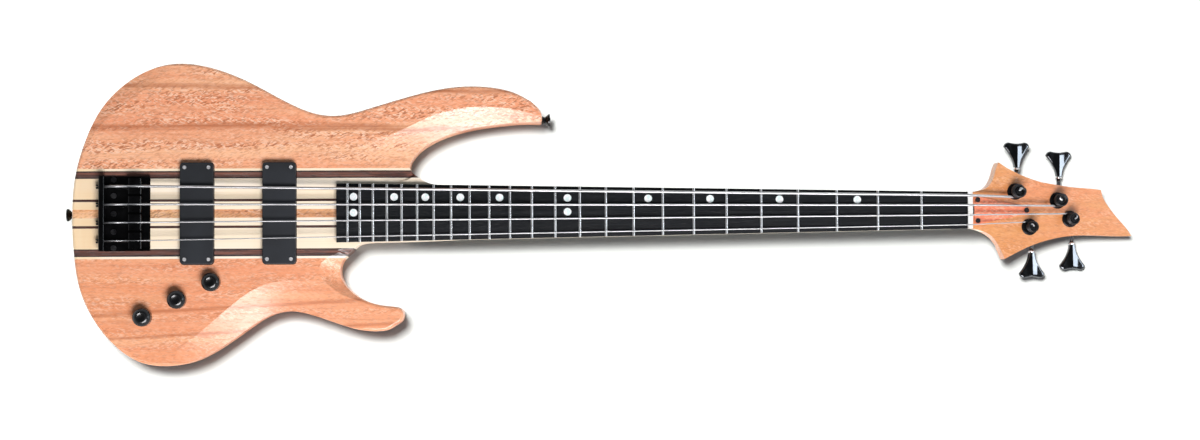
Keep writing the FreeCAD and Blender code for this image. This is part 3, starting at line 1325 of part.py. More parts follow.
def build_controls():
    pots = []
    nuts = []
    for number, (x, y) in enumerate(KNOB_AT, 1):
        can = rod(POT_R, (x, y, CAVITY_TOP - POT_H), (x, y, CAVITY_TOP))
        bush = rod(POT_BUSH_R, (x, y, CAVITY_TOP), (x, y, BODY_T + POT_BUSH_OUT))
        shaft_foot = CAVITY_TOP - POT_SHAFT_IN
        bore = rod(POT_SHAFT_R + RUN_FIT, (x, y, shaft_foot - RUN_FIT), (x, y, BODY_T + MARGIN))
        pots.append(joined([can, bush]).cut(bore))
        nut = hexagon(POT_NUT_R, POT_NUT_H, (x, y, BODY_T))
        nuts.append(nut.cut(rod(POT_BUSH_R + SCREW_FIT, (x, y, 0), (x, y, BODY_T + MARGIN))))
        foot = BODY_T + KNOB_GAP
        cap = Part.makeCone(KNOB_R, KNOB_R - KNOB_TAPER, KNOB_H, Vector(x, y, foot))
        rim = [e for e in cap.Edges if e.BoundBox.ZMin > foot + KNOB_H - NEAR]
        cap = cap.makeFillet(KNOB_ROUND, rim)
        skirt = rod(KNOB_SKIRT_R, (x, y, foot - 1), (x, y, foot + KNOB_SKIRT_H))
        shaft_top = foot + KNOB_SHAFT_H
        socket = rod(POT_SHAFT_R + KNOB_BORE, (x, y, foot), (x, y, shaft_top + KNOB_BORE))
        shaft = rod(POT_SHAFT_R, (x, y, shaft_foot), (x, y, shaft_top))
        export("control_knob_" + str(number), cap.cut([skirt, socket]), shaft)
    export("control_pots", *pots)
    export("pot_nuts", *nuts)

    mid_x = (BAY[0] + BAY[2]) / 2
    mid_y = (BAY[1] + BAY[3]) / 2
    foot = COVER_PLATE_T + BATTERY_SEAT
    length, width, height = BATTERY
    low = (mid_x - length / 2 - BATTERY_STUD_H / 2, mid_y - width / 2, foot)
    cell = box(low, (low[0] + length, low[1] + width, low[2] + height))
    cell = cell.makeFillet(BATTERY_ROUND, cell.Edges)
    stud_x = low[0] + length
    studs = [rod(BATTERY_STUD_R, (stud_x - 1, mid_y + d, foot + height / 2),
                 (stud_x + BATTERY_STUD_H, mid_y + d, foot + height / 2)) for d in (-width / 4, width / 4)]
    export("battery", joined([cell] + studs))

    first, second, last = KNOB_AT
    lead_z = POCKET_FLOOR + LEAD_Z
    lead_y = -lead_line_y()
    turn = PICKUP_X[0]
    reach = POT_R + LEAD_GAP
    lead = rounded_route([Vector(PICKUP_X[1], lead_y, lead_z), Vector(turn, lead_y, lead_z),
                          Vector(turn, first[1], lead_z),
                          Vector(first[0] - reach, first[1], lead_z)], LEAD_BEND)
    leads = [tube(lead, LEAD_R)]
    pot_z = CAVITY_TOP - POT_H / 2
    for a, b in zip(KNOB_AT, KNOB_AT[1:]):
        run = Vector(b[0] - a[0], b[1] - a[1], 0)
        out = run.normalize() * reach
        leads.append(rod(LEAD_R, Vector(a[0], a[1], pot_z) + out, Vector(b[0], b[1], pot_z) - out))
    clip = Vector(stud_x + BATTERY_STUD_H + LEAD_GAP, mid_y - width / 4, foot + height / 2)
    aside = clip.x + LEAD_BEND
    leads.append(tube(rounded_route([clip, Vector(aside, clip.y, clip.z), Vector(aside, second[1], pot_z),
                                     Vector(second[0] - reach, second[1], pot_z)]), LEAD_R))
    jack_end = Vector(JACK_X, JACK_SEAT + JACK_CAN_LEN + LEAD_GAP, JACK_Z)
    leads.append(tube(rounded_route([jack_end, Vector(JACK_X, last[1] - LEAD_BEND, JACK_Z),
                                     Vector(JACK_X - LEAD_BEND, last[1], pot_z),
                                     Vector(last[0] + reach, last[1], pot_z)]), LEAD_R))
    export("wiring", *leads)


def build_jack():
    plate = jack_plate_block(0, JACK_PLATE[2])
    out = JACK_SEAT - JACK_PLATE[2]
    axis = (JACK_X, JACK_Z)

    def bar(radius, start, end):
        return rod(radius, (axis[0], start, axis[1]), (axis[0], end, axis[1]))

    cuts = [bar(JACK_BUSH_R + SCREW_FIT, out - 1, JACK_SEAT + 1)]
    for x in jack_screw_places():
        cuts.append(rod(COVER_SCREW_R + SCREW_FIT, (x, out - 1, JACK_Z), (x, JACK_SEAT + 1, JACK_Z)))
    export("jack_plate", plate.cut(cuts))

    mouth = out - JACK_BUSH_OUT
    can = bar(JACK_CAN_R, JACK_SEAT, JACK_SEAT + JACK_CAN_LEN)
    bush = bar(JACK_BUSH_R, mouth, JACK_SEAT)
    socket = joined([can, bush]).cut(bar(JACK_BORE_R, mouth - 1, mouth + JACK_BORE_LEN))
    ring = hexagon(JACK_NUT_R, JACK_NUT_T, (0, 0, 0))
    ring.rotate(Vector(0, 0, 0), X_AXIS, 90)
    ring.translate(Vector(JACK_X, out, JACK_Z))
    ring = ring.cut(bar(JACK_BUSH_R + SCREW_FIT, mouth - 1, JACK_SEAT))
    export("jack_socket", socket, ring)


def strap_button(place, axis):
    """A turned button and its screw, standing on place along axis."""
    rim = STRAP_LEN - STRAP_RIM
    profile = [Vector(0, 0, 0), Vector(STRAP_SEAT_R, 0, 0), Vector(STRAP_NECK_R, 0, STRAP_WAIST),
               Vector(STRAP_FLANGE_R, 0, rim), Vector(STRAP_FLANGE_R, 0, STRAP_LEN),
               Vector(0, 0, STRAP_LEN)]
    wire = Part.makePolygon(profile + profile[:1])
    button = Part.Face(wire).revolve(Vector(0, 0, 0), Z_AXIS, 360)
    sunk = STRAP_SCREW_HEAD_H / 2
    cuts = [rod(STRAP_SCREW_R + SCREW_FIT, (0, 0, -1), (0, 0, STRAP_LEN + 1)),
            rod(STRAP_SCREW_HEAD_R + SCREW_FIT, (0, 0, STRAP_LEN - sunk), (0, 0, STRAP_LEN + 1))]
    button = button.cut(cuts)
    length = STRAP_SCREW_LEN + STRAP_LEN - sunk
    fixing = screw(STRAP_SCREW_R, length, STRAP_SCREW_HEAD_R, STRAP_SCREW_HEAD_H,
                   (0, 0, STRAP_LEN - sunk), (0, 0, -1), STRAP_SCREW_R / 2)
    turn = FreeCAD.Placement(Vector(*place), FreeCAD.Rotation(Z_AXIS, Vector(*axis)))
    for piece in (button, fixing):
        piece.Placement = turn.multiply(piece.Placement)
    return [button, fixing]


def build_strap_buttons():
    horn_y = (UPPER_TIP_TOP + UPPER_TIP_LOW) / 2
    tail = strap_button((TAIL[0], 0, BODY_T / 2), (-1, 0, 0))
    horn = strap_button((UPPER_TIP_X, horn_y, BODY_T / 2), (1, 0, 0))
    export("strap_buttons", *tail, *horn)


os.makedirs("parts", exist_ok=True)
build_wood()
build_fretboard()
build_nut()
build_truss_rod()
build_covers()
build_tuners()
build_strings()
build_bridge()
build_pickups()
build_controls()
build_jack()
build_strap_buttons()
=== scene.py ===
# %% [markdown]
# # An electric bass guitar on a white studio floor
# The solid model gives every piece its place and its size. This notebook dresses it: wood with
# grain and pores, black plated metal, wound strings, and the light that shows them.
# Lengths are metres. +X runs to the headstock, +Y to the thick string, +Z out of the front.

# %% Load the solid model
import bmesh
import bpy
import math
from mathutils import Matrix, Vector


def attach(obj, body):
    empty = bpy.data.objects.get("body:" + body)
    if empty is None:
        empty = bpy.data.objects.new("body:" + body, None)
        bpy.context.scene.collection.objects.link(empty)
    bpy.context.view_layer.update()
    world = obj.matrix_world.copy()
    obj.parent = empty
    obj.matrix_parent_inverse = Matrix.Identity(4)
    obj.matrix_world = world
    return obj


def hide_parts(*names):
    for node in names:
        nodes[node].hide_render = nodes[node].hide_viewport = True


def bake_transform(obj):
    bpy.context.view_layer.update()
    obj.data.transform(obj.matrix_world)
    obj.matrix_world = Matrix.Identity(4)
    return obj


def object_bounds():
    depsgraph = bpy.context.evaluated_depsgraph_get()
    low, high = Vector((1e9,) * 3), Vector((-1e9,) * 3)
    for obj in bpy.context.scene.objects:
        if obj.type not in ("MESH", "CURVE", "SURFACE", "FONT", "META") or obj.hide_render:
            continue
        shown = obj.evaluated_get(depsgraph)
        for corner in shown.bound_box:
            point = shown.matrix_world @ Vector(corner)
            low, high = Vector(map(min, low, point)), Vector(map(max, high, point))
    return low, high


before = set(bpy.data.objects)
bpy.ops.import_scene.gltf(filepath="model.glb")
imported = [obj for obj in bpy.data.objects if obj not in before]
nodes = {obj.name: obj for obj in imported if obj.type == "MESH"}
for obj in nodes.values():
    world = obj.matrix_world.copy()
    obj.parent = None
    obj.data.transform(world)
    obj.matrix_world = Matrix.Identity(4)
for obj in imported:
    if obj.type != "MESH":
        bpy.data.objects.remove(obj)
cad_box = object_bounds()
scene = bpy.context.scene
scene.view_settings.view_transform = "Standard"
print(len(nodes), "nodes,", [round(v, 4) for v in cad_box[0]], [round(v, 4) for v in cad_box[1]])

# %% [markdown]
# ## Formulas for shaders
# A material is a small formula over the surface: where is this point, how far along the grain is it.
# It could be built by naming and linking each Math node, but a formula with + and * is easier to
# read and to change, so one class wraps a socket and lets Python's operators add the nodes.
# Its `node` method adds any other kind of node: its settings first, then its sockets.


# %% A socket that can be used in formulas
class Sock:
    def __init__(self, tree, socket=None):
        self.tree = tree
        self.socket = socket

    def node(self, kind, settings, sockets, output=None):
        made = self.tree.nodes.new(kind)
        for name, value in settings.items():
            setattr(made, name, value)
        for name, value in sockets.items():
            target = next(s for s in made.inputs if s.enabled and name in (s.identifier, s.name))
            if isinstance(value, Sock):
                self.tree.links.new(value.socket, target)
            else:
                target.default_value = value
        outputs = [s for s in made.outputs if s.enabled]
        chosen = next((s for s in outputs if s.name == output), outputs[0])
        return Sock(self.tree, chosen)

    def math(self, operation, *values):
        sockets = dict(zip(("Value", "Value_001"), values))
        return self.node("ShaderNodeMath", {"operation": operation}, sockets)

    def __add__(self, other):
        return self.math("ADD", self, other)

    def __radd__(self, other):
        return self.math("ADD", other, self)

    def __sub__(self, other):
        return self.math("SUBTRACT", self, other)

    def __rsub__(self, other):
        return self.math("SUBTRACT", other, self)

    def __mul__(self, other):
        return self.math("MULTIPLY", self, other)

    def __rmul__(self, other):
        return self.math("MULTIPLY", other, self)

    def size(self):
        return self.math("ABSOLUTE", self)

    def ramp(self, low, high, start=0.0, end=1.0):
        """A smooth step from start, at low, to end, at high."""
        return self.node("ShaderNodeMapRange", {"interpolation_type": "SMOOTHSTEP"},
                         {"Value": self, "From Min": low, "From Max": high, "To Min": start, "To Max": end})

    def scaled(self, x, y, z):
        """This place counted in lumps, given how many fit in a metre along X, Y and Z."""
        return self.node("ShaderNodeVectorMath", {"operation": "MULTIPLY"},
                         {"Vector": self, "Vector_001": (x, y, z)})

    def lumps(self, x, y, z, turn=0.0):
        """This place counted in lumps of a given size, turned about Z."""
        return self.node("ShaderNodeMapping", {"vector_type": "TEXTURE"},
                         {"Vector": self, "Rotation": (0, 0, turn), "Scale": (x, y, z)})

    def noise(self, detail=2.0, roughness=0.5, distortion=0.0):
        """Noise at this place, one lump per unit of length."""
        return self.node("ShaderNodeTexNoise", {}, {"Vector": self, "Scale": 1.0, "Detail": detail,
                                                    "Roughness": roughness, "Distortion": distortion})

    def part(self, axis):
        return self.node("ShaderNodeSeparateXYZ", {}, {"Vector": self}, axis)

    def mix(self, first, second, blend="MIX"):
        """A colour: the first where this is 0, the second where it is 1."""
        return self.node("ShaderNodeMix", {"data_type": "RGBA", "blend_type": blend},
                         {"Factor": self, "A": first, "B": second})

    def bump(self, strength, depth):
        return self.node("ShaderNodeBump", {}, {"Height": self, "Strength": strength, "Distance": depth})


print("a socket knows", ", ".join(name for name in vars(Sock) if not name.startswith("_")))

# %% [markdown]
# ## Materials from formulas
# A finish has values that are the same all over, such as its clear coat, and values that change from
# place to place, such as its colour. The steady ones are set on the shader. The others come from a
# function of the place, so one function can serve several woods or metals.


# %% Materials
def rgb(red, green, blue):
    return (red, green, blue, 1.0)


def material(name, steady, varying):
    """A surface whose steady values sit on the shader, and whose varying ones come from a formula."""
    made = bpy.data.materials.new(name)
    made.use_nodes = True
    tree = made.node_tree
    shader = tree.nodes["Principled BSDF"]
    for socket, value in steady.items():
        shader.inputs[socket].default_value = value
    place = Sock(tree).node("ShaderNodeTexCoord", {}, {}, "Object")
    for socket, value in varying(place).items():
        tree.links.new(value.socket, shader.inputs[socket])
    return made


def dress(look, *names):
    for name in names:
        nodes[name].data.materials.clear()
        nodes[name].data.materials.append(look)
    print(look.name, "on", ", ".join(names))


print("helpers:", ", ".join(f.__name__ for f in (rgb, material, dress)))

# %% [markdown]
# ## Camera
# A camera could be placed by eye, but a bass has a ruler built in. Its frets are spaced by a known rule,
# so their places in the picture tell where the camera stood: straight above the bass, a little towards
# its lower edge, two and a half metres up. The turn is an axis whose length is the angle in degrees.

# %% Camera
CAMERA_AT = Vector((0.393134, -0.119129, 2.612324))
CAMERA_TURN = Vector((2.47148, -1.89863, -0.29453))
SENSOR_MM = 36.0
LENS_MM = 73.875
camera_data = bpy.data.cameras.new("camera")
camera_data.sensor_width = SENSOR_MM
camera_data.sensor_fit = "HORIZONTAL"
camera_data.lens = LENS_MM
camera = bpy.data.objects.new("camera", camera_data)
turn = Matrix.Rotation(math.radians(CAMERA_TURN.length), 4, CAMERA_TURN.normalized())
camera.matrix_world = Matrix.Translation(CAMERA_AT) @ turn
scene.collection.objects.link(camera)
scene.camera = camera
print("camera at", tuple(round(v, 3) for v in CAMERA_AT))

# %% [markdown]
# ## Floor and light
# The bass lies on a white sweep. One lamp could light both, but a floor bright enough to be white would
# then need too much light on the wood, so lamps and floor are linked apart.
# A wide soft lamp near the lower right lights the bass, and facets that lean that way shine. A small one
# beyond the headstock puts a bright stripe on each black key. A third, upper left, lights only the floor
# and draws the soft shadow under the lower edges. Far from the bass the floor glows white by itself.

# %% Floor
MIDDLE = Vector((0.45, 0.0, 0.04))
FLOOR_HALF = 12.0
FLOOR_GAP = 0.0004
FLOOR_COLOUR = rgb(0.37, 0.41, 0.45)
GLOW_FROM, GLOW_BY = 0.9, 2.2
GLOW_NEAR = 0.03
low_z = cad_box[0][2] - FLOOR_GAP
corners = [(-1, -1), (1, -1), (1, 1), (-1, 1)]
floor_mesh = bpy.data.meshes.new("floor")
floor_mesh.from_pydata([(x * FLOOR_HALF, y * FLOOR_HALF, low_z) for x, y in corners], [], [(0, 1, 2, 3)])
floor = bpy.data.objects.new("floor", floor_mesh)
scene.collection.objects.link(floor)
paper = bpy.data.materials.new("white_sweep")
paper.use_nodes = True
tree = paper.node_tree
shader = tree.nodes["Principled BSDF"]
shader.inputs["Base Color"].default_value = FLOOR_COLOUR
shader.inputs["Roughness"].default_value = 0.9
shader.inputs["Specular IOR Level"].default_value = 0.0
path = Sock(tree)
seen = [path.node("ShaderNodeLightPath", {}, {}, ray)
        for ray in ("Is Camera Ray", "Is Glossy Ray", "Is Transmission Ray")]
place = path.node("ShaderNodeTexCoord", {}, {}, "Object")
far = place.node("ShaderNodeVectorMath", {"operation": "DISTANCE"}, {"Vector": place, "Vector_001": MIDDLE})
white = (seen[0] + seen[1] + seen[2]) * far.ramp(GLOW_FROM, GLOW_BY, GLOW_NEAR, 1.0)
glow = path.node("ShaderNodeEmission", {}, {"Color": rgb(1, 1, 1), "Strength": 1.0})
sweep = path.node("ShaderNodeMixShader", {},
                  {"Fac": white, "Shader": Sock(tree, shader.outputs[0]), "Shader_001": glow})
tree.links.new(sweep.socket, tree.nodes["Material Output"].inputs["Surface"])
floor_mesh.materials.append(paper)
print("floor at z", round(low_z, 4))


# %% Lamps
def lamp(name, at, to, width, depth, watts, tint):
    data = bpy.data.lights.new(name, "AREA")
    data.shape = "RECTANGLE"
    data.size = width
    data.size_y = depth
    data.energy = watts
    data.color = tint
    made = bpy.data.objects.new(name, data)
    made.location = at
    made.rotation_euler = (Vector(to) - Vector(at)).to_track_quat("-Z", "Y").to_euler()
    scene.collection.objects.link(made)
    return made


def floor_link(lamp_object, state):
    """INCLUDE keeps a lamp to the floor, and EXCLUDE keeps it off the floor."""
    group = bpy.data.collections.new(lamp_object.name + "_reach")
    group.objects.link(floor)
    lamp_object.light_linking.receiver_collection = group
    group.collection_objects[0].light_linking.link_state = state


KEYS_MIDDLE = Vector((0.95, 0, 0.02))
key = lamp("key_lamp", at=MIDDLE + Vector((0.35, -1.5, 2.2)), to=MIDDLE,
           width=1.7, depth=1.1, watts=96, tint=(1.0, 0.98, 1.0))
strip = lamp("strip_lamp", at=(2.39, 0.05, 1.4), to=KEYS_MIDDLE,
             width=0.45, depth=0.5, watts=6.5, tint=(0.84, 0.92, 1.0))
under = lamp("floor_lamp", at=MIDDLE + Vector((-0.85, 0.9, 4.2)), to=MIDDLE,
             width=1.1, depth=1.1, watts=640, tint=(1.0, 0.92, 0.81))
floor_link(key, "EXCLUDE")
floor_link(strip, "EXCLUDE")
floor_link(under, "INCLUDE")
print("lamps:", [o.name for o in (key, strip, under)])

# %% World
# The sky is brighter near the horizon than overhead, and mirrors see twice the sky that lights matt wood.
SKY_TINT = rgb(0.93, 0.96, 1.0)
SKY_LOW, SKY_HIGH = 0.15, 0.95
HORIZON, ZENITH = 0.75, 0.05
MATT_SHARE = 0.5
world = bpy.data.worlds.new("studio")
world.use_nodes = True
sky = world.node_tree.nodes["Background"]
way = Sock(world.node_tree).node("ShaderNodeTexCoord", {}, {}, "Generated")
dim_above = way.part("Z").ramp(SKY_LOW, SKY_HIGH, HORIZON, ZENITH)
mirrored = way.node("ShaderNodeLightPath", {}, {}, "Is Glossy Ray")
share = mirrored * (1 - MATT_SHARE) + MATT_SHARE
pale = (dim_above * share).mix(rgb(0, 0, 0), SKY_TINT)
behind = way.node("ShaderNodeLightPath", {}, {}, "Is Camera Ray").mix(pale, rgb(1, 1, 1))
world.node_tree.links.new(behind.socket, sky.inputs["Color"])
scene.world = world
print("world", world.name)

# %% [markdown]
# ## Wood
# Oiled mahogany is not one colour: wide bands along the grain, thin darker lines in them, slanting flecks
# where the grain dips in and out, and short open pores that catch dirt. A picture of wood could give that,
# but it would blur up close and stretch on the bevels. Noise in three dimensions does neither.
# Most of it is stretched along X, the grain of every piece here. The pores also go into the bump.


# %% Mahogany
BLUSH = rgb(0.86, 0.31, 0.16)
FLECK = rgb(1.0, 0.65, 0.46)
PORE = rgb(0.36, 0.13, 0.06)


def streak(place, y, slope, width, wander):
    """1 along one line of the grain, fading out over its width."""
    x_along = place.part("X")
    drift = (place.scaled(5, 0, 0).noise(2) - 0.5) * wander
    off = (place.part("Y") - (x_along * slope + y) + drift).size()
    return off.ramp(0.0, width, 1.0, 0.0)


def pores(place, along, across):
    dashes = place.scaled(along, across, across).noise(1.5, 0.5)
    return dashes.ramp(0.56, 0.68)


def mahogany(place, pale, mid, dark, streaks, mottle):
    bands = place.scaled(2.2, 70, 50).noise(3, 0.55, 0.3)
    warm = place.scaled(3.5, 34, 30).noise(2, 0.5, 0.4)
    lines = place.scaled(9, 330, 330).noise(3, 0.6)
    rise = place.lumps(0.0052, 0.0015, 0.0015, 0.36).noise(1, 0.5, 0.5)
    fall = place.lumps(0.0048, 0.0015, 0.0015, -0.32).noise(1, 0.5, 0.5)
    patch = place.lumps(0.11, 0.011, 0.011).noise(1, 0.5, 0.3)
    open_pores = pores(place, 150, 900)
    tone = bands.ramp(0.32, 0.68).mix(mid, pale)
    tone = (warm.ramp(0.46, 0.66) * 0.5).mix(tone, BLUSH)
    tone = (lines.ramp(0.45, 0.75) * 0.45).mix(tone, dark)
    show = patch.ramp(0.38, 0.66, 0.30, 1.0) * mottle
    tone = (fall.ramp(0.48, 0.62) * show).mix(tone, FLECK)
    tone = (rise.ramp(0.50, 0.64) * show).mix(tone, dark)
    broken = lines.ramp(0.3, 0.7) * 0.5 + 0.5
    for line in streaks:
        tone = (streak(place, *line) * broken * 0.95).mix(tone, dark)
    tone = (open_pores * 0.3).mix(tone, PORE)
    height = lines * 0.25 + rise * 0.15 - open_pores * 0.6
    return {
        "Base Color": tone,
        "Roughness": fall * 0.10 + open_pores * 0.15 + 0.27,
        "Normal": height.bump(0.3, 0.0004),
    }


print("formulas:", ", ".join(f.__name__ for f in (streak, pores, mahogany)))

# %% Mahogany pieces
OIL = {"Coat Weight": 0.3, "Coat Roughness": 0.30, "Specular IOR Level": 0.6}
body_wood = material("mahogany_upper", OIL, lambda p: mahogany(
    p, pale=rgb(0.99, 0.54, 0.31), mid=rgb(0.94, 0.41, 0.22), dark=rgb(0.50, 0.165, 0.07),
    streaks=[(0.134, -0.02, 0.0045, 0.006), (0.090, 0.0, 0.006, 0.02)], mottle=0.95))
dress(body_wood, "upper_wing", "headstock_ears")
lower_wood = material("mahogany_lower", OIL, lambda p: mahogany(
    p, pale=rgb(0.94, 0.45, 0.24), mid=rgb(0.88, 0.35, 0.17), dark=rgb(0.55, 0.18, 0.075),
    streaks=[(-0.103, 0.055, 0.0035, 0.004), (-0.128, 0.05, 0.003, 0.006)], mottle=0.5))
dress(lower_wood, "lower_wing")
strip_wood = material("mahogany_strip", OIL, lambda p: mahogany(
    p, pale=rgb(1.0, 0.62, 0.33), mid=rgb(0.87, 0.36, 0.14), dark=rgb(0.32, 0.09, 0.035),
    streaks=[], mottle=1.0))
dress(strip_wood, "neck_center_strip")
head_wood = material("mahogany_headstock", OIL, lambda p: mahogany(
    p, pale=rgb(0.75, 0.33, 0.115), mid=rgb(0.71, 0.28, 0.09), dark=rgb(0.56, 0.19, 0.06),
    streaks=[], mottle=0.35))
dress(head_wood, "headstock_face")
cover_wood = material("mahogany_cover", OIL, lambda p: mahogany(
    p, pale=rgb(0.98, 0.28, 0.145), mid=rgb(0.87, 0.215, 0.105), dark=rgb(0.50, 0.12, 0.05),
    streaks=[], mottle=0.5))
dress(cover_wood, "truss_rod_cover")

# %% [markdown]
# ## Striped woods
# The neck is glued up from strips: pale maple with fine lines and a cross flame, rosewood with open pores,
# and thin dark veneers. Flat colours would do from far off, but each wood's own grain is what tells
# the strips apart up close. Rosewood looks blackest along its glue lines, so its formula knows its edges.

# %% Maple
# Behind the bridge the maple is a deeper gold.
TAIL_FROM, TAIL_TO = -0.052, -0.030
TAIL_GOLD = rgb(0.93, 0.62, 0.29)


def maple(place):
    bands = place.scaled(2.2, 60, 60).noise(3, 0.5)
    lines = place.scaled(5, 620, 620).noise(2, 0.6)
    flame = place.scaled(95, 12, 12).noise(2, 0.5)
    tone = bands.ramp(0.3, 0.7).mix(rgb(0.98, 0.82, 0.60), rgb(0.99, 0.90, 0.77))
    tone = (lines.ramp(0.5, 0.78) * 0.33).mix(tone, rgb(0.84, 0.59, 0.33))
    tone = place.part("X").ramp(TAIL_FROM, TAIL_TO, 0.55, 0.0).mix(tone, TAIL_GOLD)
    tone = (flame.ramp(0.42, 0.70) * 0.22).mix(tone, rgb(1.0, 0.87, 0.62))
    return {
        "Base Color": tone,
        "Roughness": flame * 0.12 + lines * 0.08 + 0.30,
        "Normal": (lines * 0.4 + flame * 0.2).bump(0.2, 0.0003),
    }


dress(material("maple", OIL, maple),
      "neck_inner_maple_strips", "neck_outer_maple_strips", "core_edge_maple_strips")


# %% Rosewood and ebony
GLUE = rgb(0.012, 0.009, 0.009)
GLUE_FULL, GLUE_GONE = 0.0006, 0.0022


def rosewood(place, pale, mid, dark, inner, outer):
    """Dark wood, blackest along its two glue lines."""
    middle = (inner + outer) / 2
    from_edge = (outer - inner) / 2 - (place.part("Y").size() - middle).size()
    bands = place.scaled(4, 260, 260).noise(3, 0.6, 0.4)
    lines = place.scaled(14, 900, 900).noise(2, 0.6)
    open_pores = pores(place, 110, 1400)
    tone = bands.ramp(0.36, 0.64).mix(mid, pale)
    tone = (lines.ramp(0.42, 0.66) * 0.75).mix(tone, dark)
    tone = from_edge.ramp(GLUE_FULL, GLUE_GONE, 0.92, 0.0).mix(tone, GLUE)
    tone = (open_pores * 0.7).mix(tone, rgb(0.02, 0.010, 0.008))
    return {
        "Base Color": tone,
        "Roughness": bands * 0.12 + open_pores * 0.2 + 0.32,
        "Normal": (lines * 0.3 - open_pores).bump(0.35, 0.0004),
    }


def ebony(place):
    lines = place.scaled(7, 700, 700).noise(3, 0.6)
    open_pores = pores(place, 130, 1700)
    tone = lines.ramp(0.45, 0.8).mix(rgb(0.005, 0.006, 0.0075), rgb(0.013, 0.016, 0.019))
    tone = (open_pores * 0.6).mix(tone, rgb(0.004, 0.004, 0.004))
    return {
        "Base Color": tone,
        "Roughness": lines * 0.18 + open_pores * 0.2 + 0.30,
        "Normal": (lines * 0.3 - open_pores).bump(0.3, 0.0003),
    }


dress(material("rosewood", OIL, lambda p: rosewood(
    p, pale=rgb(0.27, 0.105, 0.07), mid=rgb(0.105, 0.042, 0.032), dark=rgb(0.03, 0.019, 0.018),
    inner=0.0366, outer=0.0445)), "core_rosewood_strips")
dress(material("veneer", OIL, lambda p: rosewood(
    p, pale=rgb(0.36, 0.10, 0.055), mid=rgb(0.26, 0.07, 0.04), dark=rgb(0.14, 0.035, 0.022),
    inner=0.0125, outer=0.0151)), "neck_dark_veneers")
dress(material("ebony", {"Specular IOR Level": 0.2}, ebony), "fretboard")

# %% [markdown]
# ## Metal
# Black hardware is steel under a thin black plating: almost a mirror on the keys, satin on the bridge.
# One flat black would look like a hole in the picture. Its colour hardly varies, so what makes it look
# real is uneven gloss: smudges and fine hairlines. Bright metal gets brushed lines in the same way.


# %% Metals
def plated(place, dark, pale, gloss, spread):
    smudge = place.scaled(90, 90, 90).noise(3, 0.6)
    hair = place.scaled(900, 2600, 900).noise(2, 0.7)
    return {
        "Base Color": smudge.ramp(0.35, 0.75).mix(dark, pale),
        "Roughness": smudge * spread + hair * spread + gloss,
        "Normal": hair.bump(0.06, 0.0001),
    }


def brushed(place, dark, pale, gloss, counts=(300, 4200, 300)):
    """Bright metal with fine lines; counts is how many fit in a metre along X, Y and Z."""
    lines = place.scaled(*counts).noise(2, 0.7)
    dull = place.scaled(60, 60, 60).noise(3, 0.6)
    return {
        "Base Color": dull.ramp(0.3, 0.75).mix(pale, dark),
        "Roughness": lines * 0.14 + dull * 0.10 + gloss,
        "Normal": lines.bump(0.12, 0.0001),
    }


print("formulas:", ", ".join(f.__name__ for f in (plated, brushed)))

# %% Black metal pieces
names = ("e", "a", "d", "g")
MIRROR = {"Metallic": 1.0, "Coat Weight": 0.3, "Coat Roughness": 0.05}
gloss_black = material("black_chrome", MIRROR, lambda p: plated(
    p, dark=rgb(0.085, 0.090, 0.098), pale=rgb(0.13, 0.135, 0.145), gloss=0.06, spread=0.08))
dress(gloss_black, "tuner_housings", *["tuner_key_" + n for n in names])
dress(material("post_black", {"Metallic": 0.6}, lambda p: plated(
    p, dark=rgb(0.008, 0.008, 0.009), pale=rgb(0.02, 0.02, 0.022), gloss=0.14, spread=0.12)),
      "tuner_bushings", *["tuner_post_" + n for n in names])
satin_black = material("black_metal", {"Metallic": 0.3, "Specular IOR Level": 0.5}, lambda p: plated(
    p, dark=rgb(0.0010, 0.0010, 0.0012), pale=rgb(0.003, 0.003, 0.0034), gloss=0.09, spread=0.10))
dress(satin_black, "bridge_base", "jack_plate", "strap_buttons", *["saddle_" + n for n in names],
      *["intonation_screw_" + n for n in names])
dress(material("black_screw", {"Metallic": 0.8}, lambda p: plated(
    p, dark=rgb(0.02, 0.02, 0.022), pale=rgb(0.06, 0.06, 0.062), gloss=0.18, spread=0.15)),
      "cover_screws", "tuner_screws")
dress(material("bridge_screw", {"Metallic": 1.0}, lambda p: plated(
    p, dark=rgb(0.05, 0.05, 0.055), pale=rgb(0.12, 0.12, 0.125), gloss=0.20, spread=0.12)),
      "bridge_screws")

# %% Bright metal pieces
METAL = {"Metallic": 1.0}
dress(material("bright_screw", METAL, lambda p: brushed(
    p, dark=rgb(0.80, 0.80, 0.81), pale=rgb(0.95, 0.95, 0.96), gloss=0.30)), "pickup_screws")
dress(material("fret_metal", METAL, lambda p: brushed(
    p, dark=rgb(0.80, 0.80, 0.80), pale=rgb(0.93, 0.93, 0.93), gloss=0.16, counts=(2600, 40, 2600))),
      "fret_wires")
dress(material("steel", METAL, lambda p: brushed(
    p, dark=rgb(0.42, 0.42, 0.42), pale=rgb(0.62, 0.62, 0.61), gloss=0.26)), "truss_rod", "truss_rod_nut")
dress(material("pot_metal", METAL, lambda p: brushed(
    p, dark=rgb(0.50, 0.50, 0.48), pale=rgb(0.70, 0.70, 0.68), gloss=0.24)),
      "control_pots", "pot_nuts", "jack_socket")

# %% [markdown]
# ## Strings
# A bass string is fine wire wound on a core. Modelling each turn would take a million faces, and a turn is
# thinner than a pixel, so a sine along the string bumps the turns and paints shade into their valleys. The
# string is painted brighter towards the head, a painted highlight, and near black where it is wrapped on
# its post, a painted shade.

# %% Strings
TILT = math.radians(9.0)
HEAD = Matrix.Translation((0.8686, 0, 0.044)) @ Matrix.Rotation(TILT, 4, "Y")
